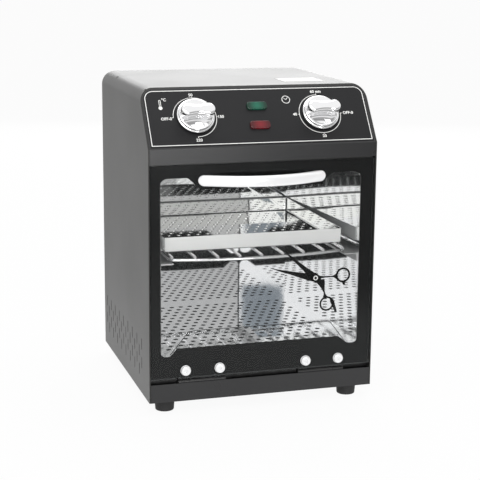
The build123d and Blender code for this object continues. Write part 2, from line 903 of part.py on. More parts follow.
export_step(shelf_runners.part, "parts/shelf_runners.step")

# ---- Wire rack: bowed perimeter wire with cross wires welded on top ----
bow_radius = (rack_half_width**2 + rack_bow**2) / (2 * rack_bow)
rack_front_y = front + rack_front
rack_rear_y = back_y - rack_rear_gap
rack_cross_pitch = 2 * (rack_half_width - rack_cross_margin) / (rack_cross_count - 1)
with BuildPart() as wire_rack:
    with BuildLine() as perimeter:
        bow = ThreePointArc(
            (-rack_half_width, rack_front_y + rack_bow, rack_z),
            (0, rack_front_y, rack_z),
            (rack_half_width, rack_front_y + rack_bow, rack_z),
        )
        Polyline(
            (rack_half_width, rack_front_y + rack_bow, rack_z),
            (rack_half_width, rack_rear_y, rack_z),
            (-rack_half_width, rack_rear_y, rack_z),
            (-rack_half_width, rack_front_y + rack_bow, rack_z),
        )
        fillet(perimeter.vertices(), rack_corner)
    loop_start = perimeter.wire() @ 0
    loop_heading = perimeter.wire() % 0
    with BuildSketch(Plane(origin=loop_start, z_dir=loop_heading)):
        Circle(rack_wire_radius)
    sweep(path=perimeter.wire())
    for index in range(rack_cross_count):
        wire_x = (index - (rack_cross_count - 1) / 2) * rack_cross_pitch
        bow_y = rack_front_y + bow_radius - math.sqrt(bow_radius**2 - wire_x**2)
        with BuildSketch(Plane.XZ.offset(-bow_y)):
            with Locations((wire_x, cross_z)):
                Circle(rack_cross_radius)
        extrude(amount=bow_y - rack_rear_y)
wire_rack.part.label = "wire_rack"
export_step(wire_rack.part, "parts/wire_rack.step")

# ---- Tray: a shallow drawn pan with the chamber floor's hole pattern ----
tray_width = 2 * (chamber_back_half - tray_side_gap)
tray_length = back_y - tray_rear_gap - front - tray_front
tray_mid_y = front + tray_front + tray_length / 2
with BuildPart() as tray:
    with BuildSketch(Plane.XY.offset(tray_z)):
        with Locations((0, tray_mid_y)):
            RectangleRounded(tray_width, tray_length, tray_corner)
    extrude(amount=tray_height)
    fillet(tray.edges().group_by(Axis.Z)[0], tray_bottom_round)
    offset(amount=-tray_wall, openings=tray.faces().sort_by(Axis.Z)[-1])
    with BuildSketch(Plane.XY.offset(tray_z)):
        with Locations(*staggered_holes(tray_width, tray_length, tray_mid_y)):
            Circle(hole_radius)
    extrude(amount=tray_wall, mode=Mode.SUBTRACT)
tray.part.label = "tray"
export_step(tray.part, "parts/tray.step")

# ---- Thermostat: body and bushing behind the panel, shaft with the knob ----
with BuildPart() as thermostat_body:
    with BuildSketch(panel_plane(temperature_x, dial_s, -steel)):
        Rectangle(thermostat_width, thermostat_length)
    extrude(amount=-thermostat_depth)
    with BuildSketch(panel_plane(temperature_x, dial_s, -steel)):
        Circle(bushing_radius)
    extrude(amount=steel + bushing_reach)
    with BuildSketch(panel_plane(temperature_x, dial_s, bushing_reach)):
        Circle(shaft_radius + running_gap)
    extrude(amount=-(bushing_reach + shaft_inner + rest_gap), mode=Mode.SUBTRACT)
thermostat_body.part.label = "thermostat_body"
export_step(thermostat_body.part, "parts/thermostat_body.step")

# ---- Timer: drum and bushing behind the panel, and its bell ----
with BuildPart() as timer_body:
    with BuildSketch(panel_plane(timer_x, dial_s, -steel)):
        Circle(timer_radius)
    extrude(amount=-timer_depth)
    with BuildSketch(panel_plane(timer_x, dial_s, -steel)):
        Circle(bushing_radius)
    extrude(amount=steel + bushing_reach)
    with BuildSketch(panel_plane(timer_x, dial_s, bushing_reach)):
        Circle(shaft_radius + running_gap)
    extrude(amount=-(bushing_reach + shaft_inner + rest_gap), mode=Mode.SUBTRACT)
timer_body.part.label = "timer_body"
export_step(timer_body.part, "parts/timer_body.step")

bell_seat = -steel - timer_depth
with BuildPart() as timer_bell:
    with BuildSketch(panel_plane(timer_x, dial_s, bell_seat - bell_stud)):
        Circle(bell_radius)
    extrude(amount=-bell_depth)
    with BuildSketch(panel_plane(timer_x, dial_s, bell_seat - bell_stud)):
        Circle(bell_radius - bell_wall)
    extrude(amount=bell_wall - bell_depth, mode=Mode.SUBTRACT)
    with BuildSketch(panel_plane(timer_x, dial_s, bell_seat)):
        Circle(shaft_radius)
    extrude(amount=-(bell_stud + bell_depth))
timer_bell.part.label = "timer_bell"
export_step(timer_bell.part, "parts/timer_bell.step")

# ---- Shafts and knobs, one pair for each dial ----
knob_bottom = overlay_thickness + knob_gap
grip_end_x = knob_grip_half_length - knob_grip_end_radius
waist_radius = (knob_grip_waist**2 + grip_end_x**2 - knob_grip_end_radius**2) / (
    2 * (knob_grip_end_radius - knob_grip_waist)
)
touch_share = knob_grip_end_radius / (waist_radius + knob_grip_end_radius)
touch_x = grip_end_x * (1 - touch_share)
touch_y = (waist_radius + knob_grip_waist) * touch_share
for dial, dial_x in (("temperature", temperature_x), ("timer", timer_x)):
    shaft_name = "thermostat_shaft" if dial == "temperature" else "timer_shaft"
    with BuildPart() as shaft:
        with BuildSketch(panel_plane(dial_x, dial_s, -shaft_inner)):
            Circle(shaft_radius)
        extrude(amount=shaft_inner + knob_bottom + shaft_grip)
    shaft.part.label = shaft_name
    export_step(shaft.part, f"parts/{shaft_name}.step")

    with BuildPart() as knob:
        with BuildSketch(panel_plane(dial_x, dial_s, knob_bottom)):
            Circle(knob_radius)
        extrude(amount=knob_skirt)
        with BuildSketch(panel_plane(dial_x, dial_s, knob_bottom + knob_skirt)):
            Circle(knob_radius - knob_step)
        extrude(amount=knob_disc - knob_skirt)
        with BuildSketch(panel_plane(dial_x, dial_s, knob_bottom + knob_disc)):
            with BuildLine():
                for side in (-1, 1):
                    ThreePointArc(
                        (-touch_x, side * touch_y),
                        (0, side * knob_grip_waist),
                        (touch_x, side * touch_y),
                    )
                    ThreePointArc(
                        (side * touch_x, -touch_y),
                        (side * knob_grip_half_length, 0),
                        (side * touch_x, touch_y),
                    )
            make_face()
        extrude(amount=knob_grip_top - knob_bottom - knob_disc)
        fillet(knob.faces().sort_by(panel_axis)[-1].edges(), knob_round)
        with BuildSketch(panel_plane(dial_x, dial_s, knob_bottom)):
            Circle(shaft_radius)
        extrude(amount=shaft_grip, mode=Mode.SUBTRACT)
    knob.part.label = f"{dial}_knob"
    export_step(knob.part, f"parts/{dial}_knob.step")

# ---- Nuts on the two bushings, in the overlay's windows ----
with BuildPart() as bushing_nuts:
    with BuildSketch(panel):
        with Locations((temperature_x, dial_s), (timer_x, dial_s)):
            RegularPolygon(bushing_nut_width / 2, 6, major_radius=False)
            Circle(bushing_radius + screw_play, mode=Mode.SUBTRACT)
    extrude(amount=bushing_reach)
bushing_nuts.part.label = "bushing_nuts"
export_step(bushing_nuts.part, "parts/bushing_nuts.step")

# ---- Indicator lamps: a coloured lens each in front, the two holders behind ----
for name, lamp_s in (("run_lamp_lens", run_lamp_s), ("power_lamp_lens", power_lamp_s)):
    with BuildPart() as lens:
        with BuildSketch(panel_plane(lamp_x, lamp_s, overlay_thickness)):
            RectangleRounded(lamp_width, lamp_height, lamp_corner)
        extrude(amount=lamp_proud)
        fillet(lens.faces().sort_by(panel_axis)[-1].edges(), lamp_edge)
    lens.part.label = name
    export_step(lens.part, f"parts/{name}.step")

with BuildPart() as lamp_bodies:
    for lamp_s in (run_lamp_s, power_lamp_s):
        with BuildSketch(panel_plane(lamp_x, lamp_s, overlay_thickness)):
            Rectangle(lamp_hole_width, lamp_hole_height)
        extrude(amount=-(overlay_thickness + lamp_body_depth))
        with BuildSketch(panel_plane(lamp_x, lamp_s, -lamp_body_depth)):
            with Locations((-lamp_hole_width / 4, 0), (lamp_hole_width / 4, 0)):
                Rectangle(lamp_tab_thickness, lamp_tab_width)
        extrude(amount=-lamp_tab_length)
lamp_bodies.part.label = "lamp_bodies"
export_step(lamp_bodies.part, "parts/lamp_bodies.step")

# ---- Thermostat bulb on the ceiling plate, and its capillary ----
bulb_z = ceiling_top + bulb_radius
with BuildPart() as thermostat_bulb:
    with BuildSketch(Plane.YZ.offset(-bulb_length / 2)):
        with Locations((chamber_mid_y, bulb_z)):
            Circle(bulb_radius)
    extrude(amount=bulb_length)
thermostat_bulb.part.label = "thermostat_bulb"
export_step(thermostat_bulb.part, "parts/thermostat_bulb.step")

thermostat_side = on_panel(temperature_x - thermostat_width / 2, dial_s, -thermostat_depth / 2)
capillary_side_x = inner_half - capillary_wall_gap
capillary_tube = wire(
    [
        (-bulb_length / 2, chamber_mid_y, bulb_z),
        (-capillary_side_x, chamber_mid_y, bulb_z),
        (-capillary_side_x, chamber_mid_y, thermostat_side.Z),
        (-capillary_side_x, thermostat_side.Y, thermostat_side.Z),
        (thermostat_side.X, thermostat_side.Y, thermostat_side.Z),
    ],
    capillary_radius,
    capillary_bend,
)
capillary_tube.label = "capillary_tube"
export_step(capillary_tube, "parts/capillary_tube.step")

# ---- Terminal block on the base pan, in front of the gland ----
block_y = rear - block_setback
with BuildPart() as terminal_block:
    with BuildSketch(Plane.XY.offset(base_top)):
        with Locations((gland_x, block_y)):
            Rectangle(block_size[0], block_size[1])
    extrude(amount=block_size[2])
    fillet(terminal_block.edges().filter_by(Axis.Z), block_round)
terminal_block.part.label = "terminal_block"
export_step(terminal_block.part, "parts/terminal_block.step")

# ---- Thermal fuse on the upper shield ----
fuse_x = shield_half_width - fuse_inset
fuse_z = ceiling_top + shield_height + fuse_radius
with BuildPart() as thermal_fuse:
    with BuildSketch(Plane.YZ.offset(fuse_x)):
        with Locations((fuse_y, fuse_z)):
            Circle(fuse_radius)
    extrude(amount=fuse_length)
thermal_fuse.part.label = "thermal_fuse"
export_step(thermal_fuse.part, "parts/thermal_fuse.step")

# ---- Wiring ----
lead_x = heater_right + heater_stud + wire_radius
fuse_wire_x = inner_half - fuse_wire_wall_gap
block_side = gland_x + block_size[0] / 2
block_z = base_top + block_size[2] / 2
rear_lead_y = chamber_mid_y + heater_span / 2
front_lead_y = chamber_mid_y - heater_span / 2
timer_side = on_panel(timer_x + timer_radius, dial_s, -steel - timer_depth / 2)
thermostat_back = on_panel(temperature_x, dial_s, -steel - thermostat_depth)
lead_routes = [
    [
        (lead_x, rear_lead_y, lower_heater_z),
        (lead_x, rear_lead_y, thermostat_back.Z),
        (temperature_x, rear_lead_y, thermostat_back.Z),
        (temperature_x, thermostat_back.Y + wire_radius * slope_tan, thermostat_back.Z),
    ],
    [
        (lead_x, front_lead_y, lower_heater_z),
        (lead_x, front_lead_y, timer_side.Z),
        (lead_x, timer_side.Y, timer_side.Z),
        (timer_side.X, timer_side.Y, timer_side.Z),
    ],
    [
        (block_side, block_y, block_z),
        (fuse_wire_x, block_y, block_z),
        (fuse_wire_x, block_y, fuse_z),
        (fuse_wire_x, fuse_y, fuse_z),
        (fuse_x + fuse_length, fuse_y, fuse_z),
    ],
]
tab_depth = -lamp_body_depth - lamp_tab_length / 2
tab_reach = lamp_hole_width / 4 + lamp_tab_thickness / 2
lamp_leads = []
for lamp_s in (run_lamp_s, power_lamp_s):
    chord = math.sqrt(timer_radius**2 - (abs(lamp_s - dial_s) - wire_radius) ** 2)
    lamp_leads.append(wire(
        [
            on_panel(lamp_x + tab_reach, lamp_s, tab_depth),
            on_panel(timer_x - chord, lamp_s, tab_depth),
        ],
        wire_radius,
    ))
    lamp_leads.append(wire(
        [
            on_panel(lamp_x - tab_reach, lamp_s, tab_depth),
            on_panel(temperature_x + thermostat_width / 2, lamp_s, tab_depth),
        ],
        wire_radius,
    ))
leads = [wire(route, wire_radius, wire_bend) for route in lead_routes] + lamp_leads
with BuildPart() as wiring:
    for lead in leads:
        add(lead)
wiring.part.label = "wiring"
export_step(wiring.part, "parts/wiring.step")

# ---- Door glass ----
hinge_screw_places = [
    (side * hinge_x + k * hinge_screw_pitch / 2, ground + hinge_screw_level)
    for side in (-1, 1) for k in (-1, 1)
]
handle_screw_places = [(side * handle_screw_x - handle_shift, handle_z) for side in (-1, 1)]
glass_width = body_width - 2 * glass_side_gap
glass_height = door_top - door_bottom
with BuildPart() as door_glass:
    with BuildSketch(upright(front)):
        with Locations((0, door_bottom + glass_height / 2)):
            RectangleRounded(glass_width, glass_height, glass_corner)
        with Locations(*hinge_screw_places):
            Circle(hinge_screw_radius + glass_hole_play, mode=Mode.SUBTRACT)
        with Locations(*handle_screw_places):
            Circle(handle_screw_radius + glass_hole_play, mode=Mode.SUBTRACT)
    extrude(amount=-glass_thickness)
door_glass.part.label = "door_glass"
export_step(door_glass.part, "parts/door_glass.step")

# ---- Bowed handle ----
handle_end = handle_length / 2
with BuildPart() as door_handle:
    with BuildSketch(Plane(origin=(-handle_shift, 0, handle_z), x_dir=(1, 0, 0))):
        with BuildLine():
            ThreePointArc(
                (-handle_end, front - handle_end_depth),
                (0, front - handle_reach),
                (handle_end, front - handle_end_depth),
            )
            Polyline(
                (handle_end, front - handle_end_depth),
                (handle_end, front),
                (handle_end - handle_foot, front),
            )
            ThreePointArc(
                (handle_end - handle_foot, front),
                (0, front - handle_reach + handle_thickness),
                (handle_foot - handle_end, front),
            )
            Polyline(
                (handle_foot - handle_end, front),
                (-handle_end, front),
                (-handle_end, front - handle_end_depth),
            )
        make_face()
    extrude(amount=handle_height / 2, both=True)
    with BuildSketch(upright(front)):
        with Locations((-handle_shift, handle_z)):
            SlotOverall(handle_length, handle_height)
    extrude(amount=handle_reach, mode=Mode.INTERSECT)
    fillet(door_handle.edges().group_by(Axis.Y)[0], handle_round)
    with BuildSketch(upright(front)):
        with Locations(*handle_screw_places):
            Circle(handle_screw_radius)
    extrude(amount=handle_screw_bite, mode=Mode.SUBTRACT)
door_handle.part.label = "door_handle"
export_step(door_handle.part, "parts/door_handle.step")

# ---- Handle screws and washers, from inside the door ----
washer_back = glass_back + washer_thickness
handle_screw = pan_screw(
    handle_screw_radius,
    handle_head_radius,
    handle_head_height,
    glass_thickness + washer_thickness + handle_screw_bite,
)
with BuildPart() as handle_screws:
    with Locations(*[Location((x, washer_back, z), (-90, 0, 0)) for x, z in handle_screw_places]):
        add(handle_screw)
handle_screws.part.label = "handle_screws"
export_step(handle_screws.part, "parts/handle_screws.step")

with BuildPart() as handle_washers:
    with BuildSketch(upright(glass_back)):
        with Locations(*handle_screw_places):
            Circle(handle_head_radius)
            Circle(handle_screw_radius + screw_play, mode=Mode.SUBTRACT)
    extrude(amount=-washer_thickness)
handle_washers.part.label = "handle_washers"
export_step(handle_washers.part, "parts/handle_washers.step")

# ---- Hinge leaves on the glass, each with two knuckles ----
leaf_back = glass_back + hinge_steel
clear_of_knuckle = knuckle_radius + knuckle_gap
inner_knuckle = hinge_width - 2 * (knuckle_width + knuckle_gap)
knuckle_offset = (hinge_width - knuckle_width) / 2
for side, name in ((-1, "hinge_leaf_left"), (1, "hinge_leaf_right")):
    with BuildPart() as leaf:
        with BuildSketch(upright(glass_back)):
            with Locations((side * hinge_x, hinge_z + clear_of_knuckle)):
                Rectangle(
                    hinge_width,
                    hinge_leaf_top - hinge_level - clear_of_knuckle,
                    align=(Align.CENTER, Align.MIN),
                )
            with Locations(*[(side * hinge_x + k * knuckle_offset, hinge_z) for k in (-1, 1)]):
                Rectangle(knuckle_width, clear_of_knuckle, align=(Align.CENTER, Align.MIN))
        extrude(amount=-hinge_steel)
        for k in (-1, 1):
            with BuildSketch(Plane.YZ.offset(side * hinge_x + k * knuckle_offset)):
                with Locations((hinge_y, hinge_z)):
                    Circle(knuckle_radius)
            extrude(amount=knuckle_width / 2, both=True)
        with BuildSketch(Plane.YZ.offset(side * hinge_x)):
            with Locations((hinge_y, hinge_z)):
                Circle(pin_radius + running_gap)
        extrude(amount=hinge_width / 2, both=True, mode=Mode.SUBTRACT)
        with BuildSketch(upright(glass_back)):
            with Locations(*hinge_screw_places):
                Circle(hinge_screw_radius)
        extrude(amount=-hinge_steel, mode=Mode.SUBTRACT)
    leaf.part.label = name
    export_step(leaf.part, f"parts/{name}.step")

# ---- Hinge mounts on the front frame, each with the middle knuckle ----
mount_front = frame_front - hinge_steel
with BuildPart() as hinge_mounts:
    for side in (-1, 1):
        with BuildSketch(upright(mount_front)):
            with Locations((side * hinge_x, ground + mount_foot_level)):
                Rectangle(
                    hinge_width,
                    hinge_level - mount_foot_level - clear_of_knuckle,
                    align=(Align.CENTER, Align.MIN),
                )
            with Locations((side * hinge_x, hinge_z)):
                Rectangle(inner_knuckle, clear_of_knuckle, align=(Align.CENTER, Align.MAX))
            with Locations(*mount_screw_places):
                Circle(screw_radius + screw_play, mode=Mode.SUBTRACT)
        extrude(amount=-hinge_steel)
        with BuildSketch(Plane.YZ.offset(side * hinge_x)):
            with Locations((hinge_y, hinge_z)):
                Circle(knuckle_radius)
        extrude(amount=inner_knuckle / 2, both=True)
        with BuildSketch(Plane.YZ.offset(side * hinge_x)):
            with Locations((hinge_y, hinge_z)):
                Circle(pin_radius)
        extrude(amount=hinge_width / 2, both=True, mode=Mode.SUBTRACT)
hinge_mounts.part.label = "hinge_mounts"
export_step(hinge_mounts.part, "parts/hinge_mounts.step")

# ---- Hinge pins, pressed into the mounts ----
with BuildPart() as hinge_pins:
    for side in (-1, 1):
        with BuildSketch(Plane.YZ.offset(side * hinge_x)):
            with Locations((hinge_y, hinge_z)):
                Circle(pin_radius)
        extrude(amount=hinge_width / 2, both=True)
hinge_pins.part.label = "hinge_pins"
export_step(hinge_pins.part, "parts/hinge_pins.step")

# ---- Screws that fix the hinge mounts to the front frame ----
mount_screw = pan_screw(screw_radius, screw_head_radius, mount_head_height, screw_length)
with BuildPart() as hinge_mount_screws:
    with Locations(*[Location((x, mount_front, z), (90, 0, 0)) for x, z in mount_screw_places]):
        add(mount_screw)
hinge_mount_screws.part.label = "hinge_mount_screws"
export_step(hinge_mount_screws.part, "parts/hinge_mount_screws.step")

# ---- Large button head screws and washers on the door ----
hinge_seat = front - hinge_washer_thickness
with BuildPart() as hinge_screws:
    with BuildSketch(upright(hinge_seat)):
        with Locations(*hinge_screw_places):
            Circle(hinge_head_radius)
    extrude(amount=hinge_head_height)
    fillet(hinge_screws.edges().group_by(Axis.Y)[0], hinge_head_round)
    with BuildSketch(upright(hinge_seat - hinge_head_height)):
        with Locations(*hinge_screw_places):
            RegularPolygon(hinge_socket_width / 2, 6, major_radius=False)
    extrude(amount=-hinge_socket_depth, mode=Mode.SUBTRACT)
    with BuildSketch(upright(hinge_seat)):
        with Locations(*hinge_screw_places):
            Circle(hinge_screw_radius)
    extrude(amount=hinge_seat - leaf_back - hinge_screw_end)
hinge_screws.part.label = "hinge_screws"
export_step(hinge_screws.part, "parts/hinge_screws.step")

with BuildPart() as hinge_washers:
    with BuildSketch(upright(front)):
        with Locations(*hinge_screw_places):
            Circle(hinge_washer_radius)
            Circle(hinge_screw_radius + screw_play, mode=Mode.SUBTRACT)
    extrude(amount=hinge_washer_thickness)
hinge_washers.part.label = "hinge_washers"
export_step(hinge_washers.part, "parts/hinge_washers.step")

# ---- Door bumpers and magnetic catch ----
with BuildPart() as door_bumpers:
    with BuildSketch(upright(frame_front)):
        for side in (-1, 1):
            with Locations(
                (side * (half - bumper_top_inset), door_top - bumper_top_drop),
                (side * bumper_low_x, ground + bumper_low_level),
            ):
                Circle(bumper_radius)
    extrude(amount=door_gap - rest_gap)
door_bumpers.part.label = "door_bumpers"
export_step(door_bumpers.part, "parts/door_bumpers.step")

with BuildPart() as catch_plate:
    with BuildSketch(upright(glass_back)):
        with Locations((0, door_top - catch_drop)):
            Rectangle(catch_width, catch_height)
    extrude(amount=-catch_plate_thickness)
catch_plate.part.label = "catch_plate"
export_step(catch_plate.part, "parts/catch_plate.step")

with BuildPart() as catch_magnet:
    with BuildSketch(upright(frame_front)):
        with Locations((0, door_top - catch_drop)):
            Rectangle(catch_width, catch_height)
    extrude(amount=door_gap - catch_plate_thickness - rest_gap)
catch_magnet.part.label = "catch_magnet"
export_step(catch_magnet.part, "parts/catch_magnet.step")
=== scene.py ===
import json
import math

import bmesh
import bpy
from mathutils import Matrix, Vector


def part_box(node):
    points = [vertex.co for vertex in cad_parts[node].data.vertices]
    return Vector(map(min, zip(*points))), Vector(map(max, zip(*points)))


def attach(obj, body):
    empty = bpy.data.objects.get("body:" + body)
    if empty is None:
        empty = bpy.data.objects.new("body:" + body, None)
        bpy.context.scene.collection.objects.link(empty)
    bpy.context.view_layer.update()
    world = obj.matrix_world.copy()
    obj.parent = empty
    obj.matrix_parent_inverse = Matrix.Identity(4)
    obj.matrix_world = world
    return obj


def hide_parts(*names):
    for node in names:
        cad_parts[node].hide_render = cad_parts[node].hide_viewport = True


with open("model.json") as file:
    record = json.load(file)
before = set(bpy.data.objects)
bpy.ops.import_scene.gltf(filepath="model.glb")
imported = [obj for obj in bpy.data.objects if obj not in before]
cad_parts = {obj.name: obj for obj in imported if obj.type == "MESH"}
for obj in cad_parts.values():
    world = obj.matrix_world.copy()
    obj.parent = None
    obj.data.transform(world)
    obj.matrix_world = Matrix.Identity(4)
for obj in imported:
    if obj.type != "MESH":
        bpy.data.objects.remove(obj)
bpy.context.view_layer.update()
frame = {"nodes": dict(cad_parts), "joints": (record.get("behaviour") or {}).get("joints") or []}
nodes = frame["nodes"]


# ---- The view ----
# The camera stands in front of the cabinet, a little to its left and above its top edge.
# Its place and lens give the photograph's perspective on a square picture.
camera_place = Vector((-0.422597, -1.423301, 0.485912))
camera_turn, camera_dip, camera_roll = 0.2936147, 0.2160066, 0.0082605
camera_data = bpy.data.cameras.new("camera")
camera_data.lens = 100.0987
camera_data.sensor_width = 36.0
camera_data.clip_start = 0.01
camera = bpy.data.objects.new("camera", camera_data)
bpy.context.scene.collection.objects.link(camera)
looking = Vector((
    math.sin(camera_turn) * math.cos(camera_dip),
    math.cos(camera_turn) * math.cos(camera_dip),
    -math.sin(camera_dip),
))
level = Vector((math.cos(camera_turn), -math.sin(camera_turn), 0))
above = level.cross(looking)
across = math.cos(camera_roll) * level + math.sin(camera_roll) * above
upward = math.cos(camera_roll) * above - math.sin(camera_roll) * level
camera.matrix_world = Matrix((
    (across.x, upward.x, -looking.x, camera_place.x),
    (across.y, upward.y, -looking.y, camera_place.y),
    (across.z, upward.z, -looking.z, camera_place.z),
    (0, 0, 0, 1),
))
bpy.context.scene.camera = camera
bpy.context.scene.view_settings.view_transform = "Standard"


# ---- Materials as expressions ----
# Paint, print, plating and polished sheet are all mixed from the same few kinds of node.
# A Wire holds one socket, so that a pattern reads like the sum it is.
class Wire:
    def __init__(self, finish, socket):
        self.finish, self.socket = finish, socket

    def maths(self, operation, other, swap=False):
        pair = (other, self) if swap else (self, other)
        return self.finish.node("ShaderNodeMath", {"operation": operation}, {0: pair[0], 1: pair[1]})

    def __add__(self, other):
        return self.maths("ADD", other)

    def __radd__(self, other):
        return self.maths("ADD", other)

    def __rsub__(self, other):
        return self.maths("SUBTRACT", other, swap=True)

    def __mul__(self, other):
        return self.maths("MULTIPLY", other)

    def __gt__(self, other):
        return self.maths("GREATER_THAN", other)

    def __lt__(self, other):
        return self.maths("LESS_THAN", other)

    def __or__(self, other):
        return self.maths("MAXIMUM", other)


class Shades:
    def __init__(self, owner):
        owner.use_nodes = True
        self.tree = owner.node_tree

    def node(self, kind, settings=None, sockets=None, out=0):
        made = self.tree.nodes.new(kind)
        for key, value in (settings or {}).items():
            setattr(made, key, value)
        for key, value in (sockets or {}).items():
            if isinstance(value, Wire):
                self.tree.links.new(value.socket, made.inputs[key])
            else:
                made.inputs[key].default_value = value
        return Wire(self, made.outputs[out])

    def ease(self, wire, start, stop):
        """0 up to start and 1 from stop on, or the other way round where start is the higher."""
        return self.node("ShaderNodeMapRange", {"interpolation_type": "SMOOTHSTEP"}, {
            "Value": wire, "From Min": start, "From Max": stop,
        })


class Finish(Shades):
    def __init__(self, name, **constants):
        self.material = bpy.data.materials.new(name)
        super().__init__(self.material)
        self.shader = self.tree.nodes["Principled BSDF"]
        for socket, value in constants.items():
            self.shader.inputs[socket.replace("_", " ")].default_value = value

    def noise(self, scale, detail=2.0, stretch=(1, 1, 1)):
        coordinates = self.node("ShaderNodeTexCoord", out="Object")
        stretched = self.node("ShaderNodeMapping", {}, {"Vector": coordinates, "Scale": stretch})
        return self.node("ShaderNodeTexNoise", {}, {"Vector": stretched, "Scale": scale, "Detail": detail})

    def blend(self, share, low, high):
        return self.node("ShaderNodeMix", {"data_type": "RGBA"}, {0: share, 6: low, 7: high}, out=2)

    def bump(self, height, strength, distance):
        return self.node("ShaderNodeBump", {}, {
            "Height": height, "Strength": strength, "Distance": distance,
        })

    def feed(self, **wires):
        for socket, wire in wires.items():
            self.tree.links.new(wire.socket, self.shader.inputs[socket.replace("_", " ")])
        return self.material


def parts_of(shades, vector):
    return [shades.node("ShaderNodeSeparateXYZ", {}, {0: vector}, out=axis) for axis in "XYZ"]


def dress(material, *names):
    """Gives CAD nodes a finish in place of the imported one."""
    for name in names:
        mesh = nodes[name].data
        mesh.materials.clear()
        mesh.materials.append(material)


def smooth_copy(node, material, body, corner=32):
    """A welded copy of a CAD node, smooth over its bends and sharp at its corners, that stands for it."""
    weld, sliver = 2e-6, 1e-7
    bm = bmesh.new()
    bm.from_mesh(nodes[node].data)
    bmesh.ops.remove_doubles(bm, verts=bm.verts, dist=weld)
    bmesh.ops.dissolve_degenerate(bm, dist=sliver, edges=bm.edges)
    for face in bm.faces:
        face.smooth = True
    limit = math.radians(corner)
    for edge in bm.edges:
        edge.smooth = len(edge.link_faces) == 2 and edge.calc_face_angle(0) < limit
    mesh = bpy.data.meshes.new(node + "_shell")
    bm.to_mesh(mesh)
    bm.free()
    mesh.materials.append(material)
    piece = bpy.data.objects.new(node + "_shell", mesh)
    bpy.context.scene.collection.objects.link(piece)
    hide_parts(node)
    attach(piece, body)


# ---- Painted cabinet sheet ----
# One dark, semi-gloss painted sheet wraps both sides and the top; the floor pan and the
# rear panel are painted alike. The spray leaves a fine orange peel and an uneven gloss.
paint = Finish("cabinet_paint", IOR=1.42)
paint_cloud = paint.noise(9.0, 3.0)
paint_peel = paint.noise(900.0, 2.0)
paint.feed(
    Base_Color=paint.blend(paint_cloud, (0.026, 0.026, 0.024, 1), (0.034, 0.034, 0.032, 1)),
    Roughness=0.30 + paint_cloud * 0.10,
    Normal=paint.bump(paint_peel, 0.12, 0.0004),
)
smooth_copy("outer_wrap", paint.material, "cabinet")
smooth_copy("rear_panel", paint.material, "cabinet")
dress(paint.material, "base_pan")


# ---- Fascia and base rail ----
# The strip over the door, the sloped panel and the strip under the door are pressed from
# thinner sheet in the same dark paint, a little glossier; their darker base colour is painted shade.
shaded_strip_paint = Finish("front_paint_painted_shade", IOR=1.5)
strip_cloud = shaded_strip_paint.noise(14.0, 3.0)
shaded_strip_paint.feed(
    # Base colour darker than the wrap's same paint: painted shade on the front faces.
    Base_Color=shaded_strip_paint.blend(strip_cloud, (0.014, 0.014, 0.015, 1), (0.020, 0.020, 0.021, 1)),
    Roughness=0.24 + strip_cloud * 0.10,
    Normal=shaded_strip_paint.bump(shaded_strip_paint.noise(1100.0), 0.10, 0.0004),
)
smooth_copy("front_fascia", shaded_strip_paint.material, "cabinet")
dress(shaded_strip_paint.material, "base_rail")


# ---- Polished chamber ----
# The heating chamber is lined with mirror-polished stainless sheet, with round holes
# through its floor and ceiling. Rolling leaves long faint waves in the reflection.
polished = Finish("polished_sheet", Metallic=1.0)
polish_wave = polished.noise(11.0, 1.0, (1.0, 0.35, 1.0))
polish_haze = polished.noise(60.0, 4.0)
polished.feed(
    Base_Color=polished.blend(polish_haze, (0.89, 0.90, 0.91, 1), (0.96, 0.96, 0.96, 1)),
    Roughness=0.02 + polish_haze * 0.03,
    Normal=polished.bump(polish_wave, 0.06, 0.004),
)
dress(
    polished.material, "chamber_left_wall", "chamber_right_wall", "chamber_back_wall",
    "chamber_floor", "chamber_ceiling",
)

# ---- Front frame ----
# The doorway frame is dark sheet that the door's rubber dots close against; only its edge
# shows past the glass. Its rolled surface has a fine upright grain.
frame_sheet = Finish("frame_sheet", Metallic=1.0)
frame_grain = frame_sheet.noise(300.0, 3.0, (1.0, 1.0, 0.05))
frame_sheet.feed(
    Base_Color=frame_sheet.blend(frame_grain, (0.05, 0.05, 0.05, 1), (0.08, 0.08, 0.08, 1)),
    Roughness=0.28 + frame_grain * 0.12,
)
dress(frame_sheet.material, "front_frame")


# ---- Door glass ----
# A flat pane of clear toughened glass turns on the two hinges at its foot. It lets the
# light through and mirrors a little of the room, more at a glancing angle.
pane = Finish("clear_pane", Metallic=1.0, Roughness=0.02)
pane.shader.inputs["Base Color"].default_value = (0.86, 0.90, 0.90, 1)
glance = pane.node("ShaderNodeFresnel", {}, {"IOR": 1.45})
pane.feed(Alpha=glance * 0.6 + 0.004)
dress(pane.material, "door_glass")


# ---- Black border printed inside the glass ----
# Enamel is printed on the back of the pane: a border with two shoulders round the handle
# and two lobes at its foot leaves the window, and a thin line crosses under it.
pane_low, pane_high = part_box("door_glass")
mm = 0.001
ink = Finish("black_enamel", Roughness=0.4, Specular_IOR_Level=0.05)
ink_cloud = ink.noise(40.0)
ink.feed(Base_Color=ink.blend(ink_cloud, (0.004, 0.004, 0.004, 1), (0.008, 0.008, 0.008, 1)))


def outline_mesh(name, loops, thickness, facing):
    """A flat plate of filled outlines, an inner outline being a hole, set where facing puts its face."""
    curve = bpy.data.curves.new(name, "CURVE")
    curve.dimensions, curve.fill_mode, curve.extrude = "2D", "BOTH", thickness / 2
    for loop in loops:
        spline = curve.splines.new("POLY")
        spline.points.add(len(loop) - 1)
        for point, (x, y) in zip(spline.points, loop):
            point.co = (x, y, 0, 1)
        spline.use_cyclic_u = True
    drawn = bpy.data.objects.new(name + "_drawn", curve)
    bpy.context.scene.collection.objects.link(drawn)
    mesh = bpy.data.meshes.new_from_object(drawn.evaluated_get(bpy.context.evaluated_depsgraph_get()))
    bpy.data.objects.remove(drawn)
    mesh.transform(facing)
    mesh.materials.clear()
    return mesh


